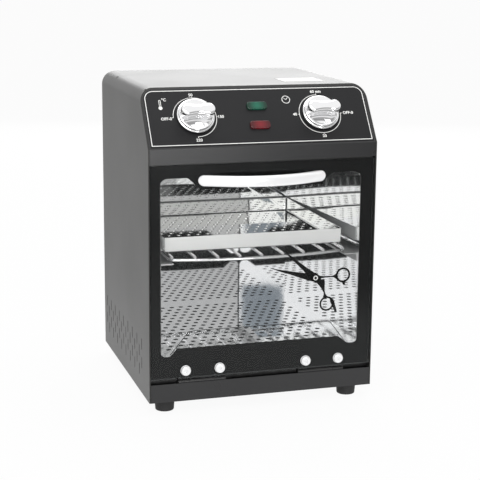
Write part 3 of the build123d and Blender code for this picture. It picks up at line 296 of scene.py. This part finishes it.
def add_piece(name, mesh, material, body):
    mesh.materials.append(material)
    piece = bpy.data.objects.new(name, mesh)
    bpy.context.scene.collection.objects.link(piece)
    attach(piece, body)
    return piece


def rounded(points, steps=8):
    """Corners given as (x, y, radius) joined by straight runs and arcs."""
    path = []
    for index, (x, y, radius) in enumerate(points):
        here = Vector((x, y))
        before = Vector(points[index - 1][:2]) - here
        after = Vector(points[(index + 1) % len(points)][:2]) - here
        before.normalize()
        after.normalize()
        half_turn = math.acos(max(-1, min(1, before.dot(after)))) / 2
        if radius == 0:
            path.append((x, y))
            continue
        reach = radius / math.tan(half_turn)
        centre = here + (before + after).normalized() * radius / math.sin(half_turn)
        first = here + before * reach - centre
        sweep = (math.pi - 2 * half_turn) * (1 if first.cross(here + after * reach - centre) > 0 else -1)
        for step in range(steps + 1):
            turned = Matrix.Rotation(sweep * step / steps, 2) @ first
            path.append(tuple(centre + turned))
    return path


# The window's corners, in millimetres right of the cabinet's left side and above its foot.
cabinet_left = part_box("outer_wrap")[0].x
cabinet_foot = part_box("outer_wrap")[0].z
window = [
    (13.0, 239.3, 8), (42.5, 239.3, 4), (56.4, 226.9, 4), (188.0, 226.9, 4), (202.4, 239.3, 4),
    (234.6, 239.3, 8), (234.6, 48.6, 6), (223.0, 48.6, 5), (212.2, 57.2, 3), (31.0, 57.2, 3),
    (23.4, 48.8, 5), (13.0, 48.8, 6),
]


def on_door(x, z):
    return (cabinet_left + x * mm, cabinet_foot + z * mm)


def door_plane(y):
    """Sets a plate drawn in X and Z upright at depth y."""
    return Matrix.Translation((0, y, 0)) @ Matrix.Rotation(math.radians(90), 4, "X")


film = 0.06 * mm
print_y = pane_high.y - film
edge_gap, edge_corner = 0.4 * mm, 1.2 * mm
border = rounded([
    (pane_low.x + edge_gap, pane_low.z + edge_gap, edge_corner),
    (pane_high.x - edge_gap, pane_low.z + edge_gap, edge_corner),
    (pane_high.x - edge_gap, pane_high.z - edge_gap, edge_corner),
    (pane_low.x + edge_gap, pane_high.z - edge_gap, edge_corner),
])
opening = rounded([(*on_door(x, z), r * mm) for x, z, r in window])
add_piece(
    "window_border", outline_mesh("window_border", [border, opening], film, door_plane(print_y)),
    ink.material, "door",
)


# ---- Line and scissors printed in the window ----
# A thin black line crosses the foot of the window, and a plain pair of hairdressing
# scissors is printed over its right half, both in the same enamel as the border.
def ribbon(points, width):
    """The outline of a line of that width along open points, in metres."""
    left, right = [], []
    for index, here in enumerate(points):
        before = Vector(points[max(index - 1, 0)])
        after = Vector(points[min(index + 1, len(points) - 1)])
        along = (after - before).normalized()
        side = Vector((-along.y, along.x)) * width / 2
        left.append(tuple(Vector(here) + side))
        right.append(tuple(Vector(here) - side))
    return left + right[::-1]


def circle(x, y, radius, steps=40):
    return [
        (x + radius * math.cos(2 * math.pi * k / steps), y + radius * math.sin(2 * math.pi * k / steps))
        for k in range(steps)
    ]


def joined(name, meshes):
    """One mesh of several plates."""
    bm = bmesh.new()
    for mesh in meshes:
        bm.from_mesh(mesh)
        bpy.data.meshes.remove(mesh)
    whole = bpy.data.meshes.new(name)
    bm.to_mesh(whole)
    bm.free()
    return whole


foot_line = [(23.4, 50.6), (43.4, 74.6), (51.7, 75.8), (199.4, 75.4), (203.5, 72.8), (219.5, 52.0)]
line_width = 0.7 * mm
line_loop = ribbon([on_door(x, z) for x, z in foot_line], line_width)
line_print = add_piece(
    "window_line", outline_mesh("window_line", [line_loop], film, door_plane(print_y)),
    ink.material, "door",
)


def flowing(points, steps=6):
    """A smooth open line through the points."""
    ends = [points[0]] + list(points) + [points[-1]]
    path = []
    for before, start, stop, after in zip(ends, ends[1:], ends[2:], ends[3:]):
        for step in range(steps):
            t = step / steps
            path.append(tuple(
                b + (c - a) * t / 2
                + (2 * a - 5 * b + 4 * c - d) * t**2 / 2
                + (3 * b - a - 3 * c + d) * t**3 / 2
                for a, b, c, d in zip(before, start, stop, after)
            ))
    return path + [points[-1]]


pivot = (184.9, 124.3)
far_blade = (
    [(145.6, 158.6), (157.5, 149.6), (169.0, 140.6), (180.5, 132.3), (189.2, 126.9)],
    [(192.0, 121.4), (184.0, 119.8), (179.0, 124.0), (169.0, 135.0), (157.6, 146.4), (145.6, 158.6)],
)
near_blade = (
    [(133.2, 138.2), (146.5, 135.4), (157.8, 133.2), (172.0, 130.6), (187.0, 129.0)],
    [(190.0, 123.0), (183.6, 120.3), (169.3, 124.7), (157.8, 129.2), (146.5, 133.0), (133.2, 138.2)],
)
upper_arm = (
    [(187.0, 127.6), (192.0, 126.0), (203.0, 125.6), (207.0, 126.8), (209.6, 130.0)],
    [(209.6, 120.6), (207.0, 122.8), (203.6, 124.0), (192.0, 123.6), (187.0, 121.6)],
)
lower_arm = (
    [(183.0, 121.2), (186.5, 118.3), (189.5, 115.0), (192.8, 110.4), (194.6, 105.8), (193.4, 101.0)],
    [(199.4, 102.2), (196.4, 106.6), (195.4, 112.6), (195.2, 121.0), (190.0, 122.0)],
)
finger_rest = (
    [(214.8, 119.6), (215.8, 116.4), (217.4, 114.4), (218.8, 115.2), (219.0, 117.4), (219.8, 119.8)],
    [(217.0, 119.0)],
)
tang = (
    [(201.6, 102.4), (205.9, 98.9), (207.9, 93.0), (210.0, 86.0), (209.4, 84.0), (207.9, 84.6)],
    [(205.8, 89.4), (204.4, 92.0), (202.0, 97.0)],
)
plates = []
for there, back in (far_blade, near_blade, upper_arm, lower_arm, finger_rest, tang):
    loop = flowing(there) + (flowing(back) if len(back) > 1 else back)
    plates.append(outline_mesh("scissors", [[on_door(x, z) for x, z in loop]], film, door_plane(print_y)))
for (x, z), outer, inner in (((216.4, 125.7), 8.4, 6.2), ((198.1, 94.8), 8.2, 6.2)):
    plates.append(outline_mesh(
        "scissors", [circle(*on_door(x, z), outer * mm), circle(*on_door(x, z), inner * mm)],
        film, door_plane(print_y),
    ))
scissors = add_piece("scissors_print", joined("scissors_print", plates), ink.material, "door")

pale_ink = Finish("white_ink", Roughness=0.45)
pale_cloud = pale_ink.noise(80.0)
pale_ink.feed(Base_Color=pale_ink.blend(pale_cloud, (0.88, 0.88, 0.86, 1), (0.94, 0.94, 0.92, 1)))
pivot_ring = outline_mesh(
    "pivot", [circle(*on_door(*pivot), 2.6 * mm), circle(*on_door(*pivot), 1.5 * mm)],
    film, door_plane(print_y - 2 * film),
)
# The photograph's chamber doesn't mirror these prints, so they stay out of reflections.
pivot_print = add_piece("scissors_pivot", pivot_ring, pale_ink.material, "door")
for piece in (line_print, scissors, pivot_print):
    piece.visible_glossy = False


# ---- Bright plating ----
# Knobs and rack are bright chrome. The handle is plated too, but paler and softer, as the
# photograph shows it. Fingers leave a faint haze, so the gloss is never quite even.
def chrome(name, tint, haze, metal=1.0):
    plate = Finish(name, Metallic=metal)
    mist = plate.noise(70.0, 3.0)
    plate.feed(
        Base_Color=plate.blend(mist, (tint * 0.96, tint * 0.96, tint * 0.97, 1), (tint, tint, tint, 1)),
        Roughness=haze + mist * haze,
    )
    return plate.material


knob_plate = chrome("knob_plate", 0.92, 0.035)
handle_plate = chrome("handle_plate", 1.0, 0.08, metal=0.2)
wire_plate = chrome("wire_plate", 0.90, 0.07)


# ---- Control panel's plane ----
# Everything on the slope is drawn in the panel's own plane, right and up it, and outwards.
# The plane is found from the temperature dial's axis, 36.3 mm up the slope.
turn = {joint["name"]: joint for joint in frame["joints"]}
dial_rise = 36.3
outward = Vector(turn["temperature_knob_turn"]["axis"]).normalized()
upslope = outward.cross(Vector((1, 0, 0)))
dial_left = Vector(turn["temperature_knob_turn"]["pos_m"])
dial_right = Vector(turn["timer_knob_turn"]["pos_m"])
slope_start = dial_left - upslope * dial_rise * mm - Vector((dial_left.x, 0, 0))


def panel_place(x, s, n=0.0):
    """Sets a shape drawn flat onto the slope, x right, s up it and n out of it, in millimetres."""
    origin = slope_start + Vector((x, 0, 0)) * mm + upslope * s * mm + outward * n * mm
    return Matrix((
        (1, upslope.x, outward.x, origin.x),
        (0, upslope.y, outward.y, origin.y),
        (0, upslope.z, outward.z, origin.z),
        (0, 0, 0, 1),
    ))


# ---- Printed overlay ----
# A satin black film covers the slope, with a white frame line, dial arcs and numbers
# screened on it. Its face has the fine grain of a textured film.
film_face = Finish("overlay_film", IOR=1.33)
film_cloud = film_face.noise(20.0, 3.0)
film_face.feed(
    Base_Color=film_face.blend(film_cloud, (0.006, 0.006, 0.007, 1), (0.010, 0.010, 0.011, 1)),
    Roughness=0.42 + film_cloud * 0.08,
    Normal=film_face.bump(film_face.noise(1600.0, 1.0), 0.15, 0.0003),
)
dress(film_face.material, "control_overlay")
overlay_top = 0.4
print_lift = overlay_top + 0.05
print_depth = 0.06 * mm
panel_half = 125.0


def arc(x, y, radius, start, end, steps=48):
    """Points of an arc about (x, y), degrees anticlockwise from the right."""
    return [
        (
            x + radius * math.cos(math.radians(start + (end - start) * k / steps)),
            y + radius * math.sin(math.radians(start + (end - start) * k / steps)),
        )
        for k in range(steps + 1)
    ]


def lettering(text, x, s, height, bold=0.0):
    """A word or number of that capital height, centred at (x, s) on the slope."""
    font = bpy.data.curves.new("lettering", "FONT")
    font.body, font.align_x, font.align_y = text, "CENTER", "CENTER"
    font.size, font.extrude, font.offset = height * mm / 0.69, print_depth / 2, bold * mm
    drawn = bpy.data.objects.new("lettering", font)
    bpy.context.scene.collection.objects.link(drawn)
    mesh = bpy.data.meshes.new_from_object(drawn.evaluated_get(bpy.context.evaluated_depsgraph_get()))
    bpy.data.objects.remove(drawn)
    mesh.transform(panel_place(x - panel_half, s, print_lift))
    mesh.materials.clear()
    return mesh


def printed(loops):
    scaled = [[(x * mm, s * mm) for x, s in loop] for loop in loops]
    return outline_mesh("printed", scaled, print_depth, panel_place(-panel_half, 0, print_lift))


line = 0.8
frame_outer = rounded([(4.6, 3.6, 0), (245.4, 3.6, 0), (245.4, 68.4, 9.4), (4.6, 68.4, 9.4)])
frame_inner = rounded([
    (4.6 + line, 3.6 + line, 0), (245.4 - line, 3.6 + line, 0),
    (245.4 - line, 68.4 - line, 8.6), (4.6 + line, 68.4 - line, 8.6),
])
knob_x = (54.9, 192.2)
arc_radius = 23.0
prints = [printed([frame_outer, frame_inner])]
for x, start, end in ((knob_x[0], 180, -90), (knob_x[1], 90, 360)):
    prints.append(printed([ribbon(arc(x, dial_rise, arc_radius, start, end), line * 0.8)]))
for x in knob_x:
    for degrees in (90, 180, 270, 0):
        ends = [
            (x + r * math.cos(math.radians(degrees)), dial_rise + r * math.sin(math.radians(degrees)))
            for r in (arc_radius, arc_radius + 1.6)
        ]
        prints.append(printed([ribbon(ends, line * 0.8)]))
for text, x, s in (
    ("OFF-0", 24.4, 35.0), ("50", 54.0, 62.6), ("150", 82.6, 36.0), ("220", 55.5, 9.2),
    ("60 min", 192.3, 63.2), ("40", 164.2, 36.2), ("20", 192.3, 9.4), ("OFF-0", 224.0, 36.4),
    ("\u00b0C", 24.6, 57.5),
):
    prints.append(lettering(text, x, s, 3.1, bold=0.12))

# A plain thermometer by the left dial, and a plain clock face by the right one.
stem_outer = rounded([(18.9, 49.4, 0.4), (21.1, 49.4, 0.4), (21.1, 57.6, 1.0), (18.9, 57.6, 1.0)])
stem_inner = rounded([(19.5, 49.4, 0.1), (20.5, 49.4, 0.1), (20.5, 57.0, 0.4), (19.5, 57.0, 0.4)])
prints.append(printed([stem_outer, stem_inner]))
prints.append(printed([circle(20.0, 48.0, 2.1)]))
prints.append(printed([circle(157.3, 54.4, 4.7), circle(157.3, 54.4, 4.0)]))
prints.append(printed([ribbon([(154.9, 56.6), (157.3, 54.2), (159.6, 57.0)], 0.6)]))
add_piece("panel_print", joined("panel_print", prints), pale_ink.material, "cabinet")


# ---- Dial knobs ----
# Each knob is moulded plastic plated bright: a stepped skirt ring, a flat face, and a
# bow-sided grip bar across it with round ends. It is pressed on the dial's flatted shaft.
def lathe(profile, steps=96):
    """A round solid from (radius, height) points, its first and last on the axis or left open."""
    bm = bmesh.new()
    angles = [2 * math.pi * k / steps for k in range(steps)]
    rings = [
        [bm.verts.new((radius * math.cos(angle), radius * math.sin(angle), height)) for angle in angles]
        for radius, height in profile
    ]
    for low, high in zip(rings, rings[1:]):
        for k in range(steps):
            bm.faces.new((low[k], low[(k + 1) % steps], high[(k + 1) % steps], high[k]))
    bm.faces.new(rings[0][::-1])
    bm.faces.new(rings[-1])
    return bm


def grip_outline(steps, half_length, end_radius, waist):
    """Round ends and gently waisted sides, as tangent arcs."""
    end_x = half_length - end_radius
    bow = (waist**2 + end_x**2 - end_radius**2) / (2 * (end_radius - waist))
    share = end_radius / (bow + end_radius)
    touch = Vector((end_x * (1 - share), (bow + waist) * share))
    start = math.atan2(touch.y, touch.x - end_x)
    turns = [-start + 2 * start * k / steps for k in range(steps + 1)]
    right_end = [(end_x + end_radius * math.cos(turn), end_radius * math.sin(turn)) for turn in turns]
    swing = math.asin(touch.x / bow)
    leans = [swing - 2 * swing * k / steps for k in range(1, steps)]
    top_side = [(bow * math.sin(lean), bow + waist - bow * math.cos(lean)) for lean in leans]
    half_loop = right_end + top_side
    return half_loop + [(-x, -y) for x, y in half_loop]


def inset(loop, amount):
    moved = []
    for index, here in enumerate(loop):
        before, after = Vector(loop[index - 1]), Vector(loop[(index + 1) % len(loop)])
        along = (after - before).normalized()
        moved.append((here[0] - along.y * amount, here[1] + along.x * amount))
    return moved


knob_foot, skirt_top, grip_top = 1.7, 4.8, 19.9
knob_profile = [
    (17.4, knob_foot), (19.3, knob_foot), (19.8, 2.2), (19.95, 2.8), (19.95, 4.0), (19.7, 4.5),
    (19.2, skirt_top), (18.7, skirt_top), (18.5, 5.1), (18.5, 6.6), (18.3, 7.1), (17.8, 7.4),
    (17.0, 7.5), (16.2, 7.2), (15.4, 7.1), (2.0, 7.2),
]
grip_foot, grip_round, grip_flat = 6.8, 2.6, 1.2
grip_half_length, grip_end_radius, grip_waist = 18.0, 6.6, 5.2
round_over = [math.radians(degrees) for degrees in (15, 30, 45, 60, 75, 90)]
for name, dial, body in (
    ("temperature_knob", dial_left, "temperature_dial"),
    ("timer_knob", dial_right, "timer_dial"),
):
    bm = lathe([(radius * mm, height * mm) for radius, height in knob_profile])
    loop = grip_outline(20, grip_half_length, grip_end_radius, grip_waist)
    heights = [(0, grip_foot), (0, grip_top - grip_round)]
    for a in round_over:
        heights.append((grip_round * (1 - math.cos(a)), grip_top - grip_round * (1 - math.sin(a))))
    heights.append((grip_round + grip_flat, grip_top))
    rings = [
        [bm.verts.new((x * mm, y * mm, height * mm)) for x, y in inset(loop, depth)]
        for depth, height in heights
    ]
    for low, high in zip(rings, rings[1:]):
        for k in range(len(low)):
            bm.faces.new((low[k], low[(k + 1) % len(low)], high[(k + 1) % len(low)], high[k]))
    bm.faces.new(rings[-1])
    bm.faces.new(rings[0][::-1])
    for face in bm.faces:
        face.smooth = True
    for edge in bm.edges:
        edge.smooth = edge.calc_face_angle(0) < math.radians(40)
    mesh = bpy.data.meshes.new(name + "_plated")
    bm.to_mesh(mesh)
    bm.free()
    mesh.transform(panel_place(dial.x / mm, dial_rise))
    piece = add_piece(name + "_plated", mesh, knob_plate, body)
    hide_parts(name)


# ---- Door handle ----
# A bowed bar of plated metal stands off the glass on its two flattened ends, held by a
# screw through the pane into each.
handle_low, handle_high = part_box("door_handle")
handle_middle = (handle_low.z + handle_high.z) / 2
half_height = (handle_high.z - handle_low.z) / 2
handle_centre = (handle_low.x + handle_high.x) / 2
bar_end = (handle_high.x - handle_low.x) / 2
foot_start = bar_end - 12.5 * mm
end_share, squareness, closed = 0.9995, 0.62, 1e-10
glass_face = handle_high.y
bow_out = glass_face - handle_low.y
bar_depth = 7.0 * mm
end_depth = 2.0 * mm


def bow_line(x, reach, rise, base):
    """Depth at x of an arc that stands rise out at its middle and base at its reach."""
    tall = rise - base
    radius = (reach**2 + tall**2) / (2 * tall)
    return base + math.sqrt(max(radius**2 - x**2, 0)) - (radius - tall)


sections, around = 120, 28
bm = bmesh.new()
rings = []
for k in range(sections + 1):
    x = -math.cos(math.pi * k / sections) * bar_end * end_share
    outer = bow_line(x, bar_end, bow_out, end_depth)
    inner = bow_line(x, foot_start, bow_out - bar_depth, 0) if abs(x) < foot_start else 0.0
    from_end = abs(x) - (bar_end - half_height)
    height = half_height if from_end < 0 else math.sqrt(max(half_height**2 - from_end**2, closed))
    rings.append([])
    for j in range(around):
        angle = 2 * math.pi * j / around
        c, s = math.cos(angle), math.sin(angle)
        rings[-1].append(bm.verts.new((
            handle_centre + x,
            glass_face - (outer + inner) / 2 + math.copysign(abs(c) ** squareness, c) * (outer - inner) / 2,
            handle_middle + math.copysign(abs(s) ** squareness, s) * height,
        )))
for near, far in zip(rings, rings[1:]):
    for j in range(around):
        bm.faces.new((near[j], near[(j + 1) % around], far[(j + 1) % around], far[j]))
bm.faces.new(rings[0][::-1])
bm.faces.new(rings[-1])
bmesh.ops.recalc_face_normals(bm, faces=bm.faces)
for face in bm.faces:
    face.smooth = True
mesh = bpy.data.meshes.new("door_handle_plated")
bm.to_mesh(mesh)
bm.free()
piece = add_piece("door_handle_plated", mesh, handle_plate, "door")
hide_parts("door_handle")


# ---- Indicator lamps ----
# Two moulded lenses clip into the panel, green over red. Each glows a little towards its
# middle, where its lamp sits behind the ribbed plastic.
def lens(name, dim, bright, node):
    low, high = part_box(node)
    middle = (low + high) / 2
    glass = Finish(name, Roughness=0.12, IOR=1.5)
    where = glass.node("ShaderNodeTexCoord", out="Object")
    centred = glass.node(
        "ShaderNodeVectorMath", {"operation": "DISTANCE"}, {0: where, 1: tuple(middle)}, out="Value",
    )
    core_radius, rim_radius = 1 * mm, 9 * mm
    core = glass.node("ShaderNodeMapRange", {}, {
        "Value": centred, "From Min": core_radius, "From Max": rim_radius, "To Min": 1.0, "To Max": 0.0,
    })
    ribs = glass.node("ShaderNodeTexWave", {"bands_direction": "X"}, {"Vector": where, "Scale": 220.0})
    glass.feed(
        Base_Color=glass.blend(core, dim, bright),
        Emission_Color=glass.blend(core, dim, bright),
        Normal=glass.bump(ribs, 0.15, 0.0003),
    )
    glass.shader.inputs["Emission Strength"].default_value = 0.35
    return glass.material


for name, node, dim, lit in (
    ("green_lens", "run_lamp_lens", (0.001, 0.024, 0.013, 1), (0.006, 0.11, 0.066, 1)),
    ("red_lens", "power_lamp_lens", (0.05, 0.001, 0.003, 1), (0.16, 0.005, 0.010, 1)),
):
    dress(lens(name, dim, lit, node), node)


# ---- Rack, tray and the parts inside the walls ----
# The rack's plated wires and the drawn tray slide in the chamber; behind the sheet lie the
# heaters, their shields, the thermostat, the timer and the wiring, each in its own metal.
def plain(name, low, high, roughness, metal=0.0, scale=40.0, grain=(1, 1, 1)):
    """A finish that wanders a little between two shades."""
    stuff = Finish(name, Metallic=metal)
    cloud = stuff.noise(scale, 3.0, grain)
    stuff.feed(
        Base_Color=stuff.blend(cloud, (*low, 1), (*high, 1)),
        Roughness=roughness + cloud * roughness * 0.4,
    )
    return stuff.material


smooth_copy("wire_rack", wire_plate, "rack", corner=50)

# The drawn aluminium tray is polished inside and satin on its outer sides.
tray_low, tray_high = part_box("tray")
tray_half = (tray_high - tray_low) / 2
tray_skin = 0.5 * mm
tray_sheet = Finish("tray_sheet")
tray_cloud = tray_sheet.noise(25.0, 3.0)
tray_x, tray_y, _ = parts_of(tray_sheet, tray_sheet.node("ShaderNodeTexCoord", out="Object"))
outside = (tray_x > tray_half.x - tray_skin) | (tray_x < tray_skin - tray_half.x)
outside = outside | (tray_y > tray_high.y - tray_skin) | (tray_y < tray_low.y + tray_skin)
tray_sheet.feed(
    Base_Color=tray_sheet.blend(tray_cloud, (0.93, 0.94, 0.92, 1), (0.98, 0.98, 0.97, 1)),
    Metallic=1.0 - outside * 0.90,
    Roughness=0.04 + outside * 0.30,
)
smooth_copy("tray", tray_sheet.material, "tray", corner=50)
satin = plain("satin_steel", (0.45, 0.45, 0.45), (0.60, 0.60, 0.60), 0.30, metal=1.0)
dress(satin, "chamber_supports", "heater_clips", "shelf_runners", "catch_plate",
      "thermostat_shaft", "timer_shaft")
shield_sheet = plain("shield_sheet", (0.03, 0.03, 0.03), (0.07, 0.07, 0.07), 0.50, metal=0.5)
dress(shield_sheet, "lower_shield", "upper_shield")
bright = plain("screw_steel", (0.70, 0.70, 0.70), (0.84, 0.84, 0.84), 0.16, metal=1.0)
dress(bright, "rear_screws", "base_screws", "foot_screws", "foot_nuts", "handle_screws",
      "hinge_mount_screws", "bushing_nuts")
hinge_black = plain("hinge_black", (0.010, 0.010, 0.010), (0.022, 0.022, 0.022), 0.32)
dress(hinge_black, "hinge_leaf_left", "hinge_leaf_right", "hinge_mounts", "hinge_pins")
hinge_plate = chrome("hinge_plate", 0.96, 0.12, metal=0.35)
dress(hinge_plate, "hinge_washers")
smooth_copy("hinge_screws", hinge_plate, "door", corner=50)
for name, low, high, roughness, metal, dressed in (
    ("heater_tube", (0.10, 0.095, 0.09), (0.20, 0.19, 0.18), 0.35, 1.0, ("lower_heater", "upper_heater")),
    ("device_metal", (0.50, 0.50, 0.50), (0.62, 0.62, 0.62), 0.34, 1.0, ("thermostat_body", "timer_body")),
    ("bell_metal", (0.55, 0.44, 0.22), (0.72, 0.60, 0.34), 0.24, 1.0, ("timer_bell",)),
    ("bulb_metal", (0.60, 0.34, 0.22), (0.75, 0.46, 0.32), 0.25, 1.0, ("thermostat_bulb", "capillary_tube")),
    ("magnet_iron", (0.10, 0.10, 0.10), (0.18, 0.18, 0.18), 0.40, 1.0, ("catch_magnet",)),
    ("ceramic", (0.74, 0.72, 0.66), (0.82, 0.80, 0.74), 0.60, 0.0, ("heater_insulators", "thermal_fuse")),
    ("block_plastic", (0.62, 0.60, 0.52), (0.70, 0.68, 0.60), 0.45, 0.0, ("terminal_block",)),
    ("lamp_plastic", (0.74, 0.73, 0.68), (0.82, 0.81, 0.76), 0.45, 0.0, ("lamp_bodies", "handle_washers")),
    ("wire_sleeve", (0.32, 0.03, 0.02), (0.42, 0.05, 0.04), 0.50, 0.0, ("wiring",)),
):
    dress(plain(name, low, high, roughness, metal), *dressed)
rubber = plain("rubber", (0.018, 0.018, 0.018), (0.032, 0.032, 0.032), 0.60, scale=200.0)
dress(rubber, "door_bumpers")
smooth_copy("feet", rubber, "cabinet", corner=40)
smooth_copy("cord_gland", plain("gland_plastic", (0.02, 0.02, 0.02), (0.03, 0.03, 0.03), 0.42, scale=120.0),
            "cabinet", corner=30)
dress(plain("label_paper", (0.84, 0.84, 0.82), (0.90, 0.90, 0.88), 0.50, scale=300.0), "top_label")


# ---- The view's floor, walls and light ----
# Not part of the object: a pale floor that keeps a soft shadow, a white surround that is
# darker low in front and to the right, and soft lamps over the front, over the top,
# behind, and low in front.
floor_mesh = bpy.data.meshes.new("floor")
reach = 40.0
floor_corners = [(-reach, -reach, 0), (reach, -reach, 0), (reach, reach, 0), (-reach, reach, 0)]
floor_mesh.from_pydata(floor_corners, [], [(0, 1, 2, 3)])
floor = bpy.data.objects.new("floor", floor_mesh)
bpy.context.scene.collection.objects.link(floor)
pale = Finish("pale_floor", Roughness=0.8)
pale.shader.inputs["Base Color"].default_value = (0.86, 0.86, 0.86, 1)


def ray(shades, kind):
    return shades.node("ShaderNodeLightPath", out="Is %s Ray" % kind)


ground_x, ground_y, _ = parts_of(pale, pale.node("ShaderNodeTexCoord", out="Object"))
lit_ground = pale.ease(ground_y, -0.60, -0.35) | pale.ease(ground_x, 0.10, -0.10)
plain_share = 0.94
seen = ray(pale, "Camera") * plain_share + ray(pale, "Transmission") * plain_share
seen = seen + ray(pale, "Glossy") * (0.30 + lit_ground * 0.60)
glow = pale.node("ShaderNodeEmission", {}, {"Color": (1, 1, 1, 1), "Strength": 1.0})
back_left = pale.ease(ground_y, 0.0, 0.5) * pale.ease(ground_x, -0.1, -0.3)
dimmed = ray(pale, "Glossy") * ((1 - lit_ground) | (back_left * 0.35))
shown = pale.node("ShaderNodeMixShader", {}, {0: seen, 1: Wire(pale, pale.shader.outputs[0]), 2: glow})
mixed = pale.node("ShaderNodeMixShader", {}, {
    0: dimmed * 0.6, 1: shown, 2: pale.node("ShaderNodeEmission", {}, {"Color": (0.1, 0.1, 0.1, 1)}),
})
pale.tree.links.new(mixed.socket, pale.tree.nodes["Material Output"].inputs["Surface"])
floor_mesh.materials.append(pale.material)

# A plain grey card just behind the camera, seen only in reflections, stands for what the
# polished corner of the chamber mirrors straight back.
card_left, card_right, card_low, card_high, card_y = -0.300, -0.195, 0.450, 0.610, -1.45
card_mesh = bpy.data.meshes.new("card")
card_mesh.from_pydata([
    (card_left, card_y, card_low), (card_left, card_y, card_high),
    (card_right, card_y, card_high), (card_right, card_y, card_low),
], [], [(0, 1, 2, 3)])
card = bpy.data.objects.new("card", card_mesh)
bpy.context.scene.collection.objects.link(card)
card_grey = Finish("card_grey")
card_glow = card_grey.node("ShaderNodeEmission", {}, {"Color": (0.24, 0.27, 0.30, 1), "Strength": 1.0})
card_grey.tree.links.new(card_glow.socket, card_grey.tree.nodes["Material Output"].inputs["Surface"])
card_mesh.materials.append(card_grey.material)
card.visible_camera = card.visible_shadow = card.visible_diffuse = card.visible_transmission = False

surround = bpy.data.worlds.new("surround")
bpy.context.scene.world = surround
sky = Shades(surround)
toward_x, toward_y, toward_z = parts_of(sky, sky.node("ShaderNodeTexCoord", out="Generated"))
dark_side = sky.ease(toward_x, -0.05, 0.15) * sky.ease(toward_y, -0.1, -0.5) * sky.ease(toward_z, 0.55, 0.30)
strength = 0.45 + (ray(sky, "Camera") | ray(sky, "Transmission")) * 0.55
strength = strength + ray(sky, "Glossy") * (0.55 - dark_side * 0.50)
background = sky.tree.nodes["Background"]
background.inputs["Color"].default_value = (1, 1, 1, 1)
sky.tree.links.new(strength.socket, background.inputs["Strength"])


def soft_lamp(name, place, aim, size, power):
    lamp = bpy.data.lights.new(name, "AREA")
    lamp.shape, lamp.size, lamp.energy = "SQUARE", size, power
    stand = bpy.data.objects.new(name, lamp)
    bpy.context.scene.collection.objects.link(stand)
    stand.location = place
    stand.rotation_euler = (Vector(aim) - Vector(place)).to_track_quat("-Z", "Y").to_euler()


soft_lamp("front_lamp", (-0.7, -1.6, 1.5), (0, 0, 0.15), 1.2, 17)
soft_lamp("low_lamp", (0.20, -1.9, 0.25), (-0.1, 0, 0.2), 0.4, 5)
soft_lamp("top_lamp", (0.1, 0.2, 1.7), (0, 0, 0.2), 1.3, 11)
soft_lamp("back_lamp", (0.6, 1.9, 0.9), (0, 0, 0.2), 1.5, 13)
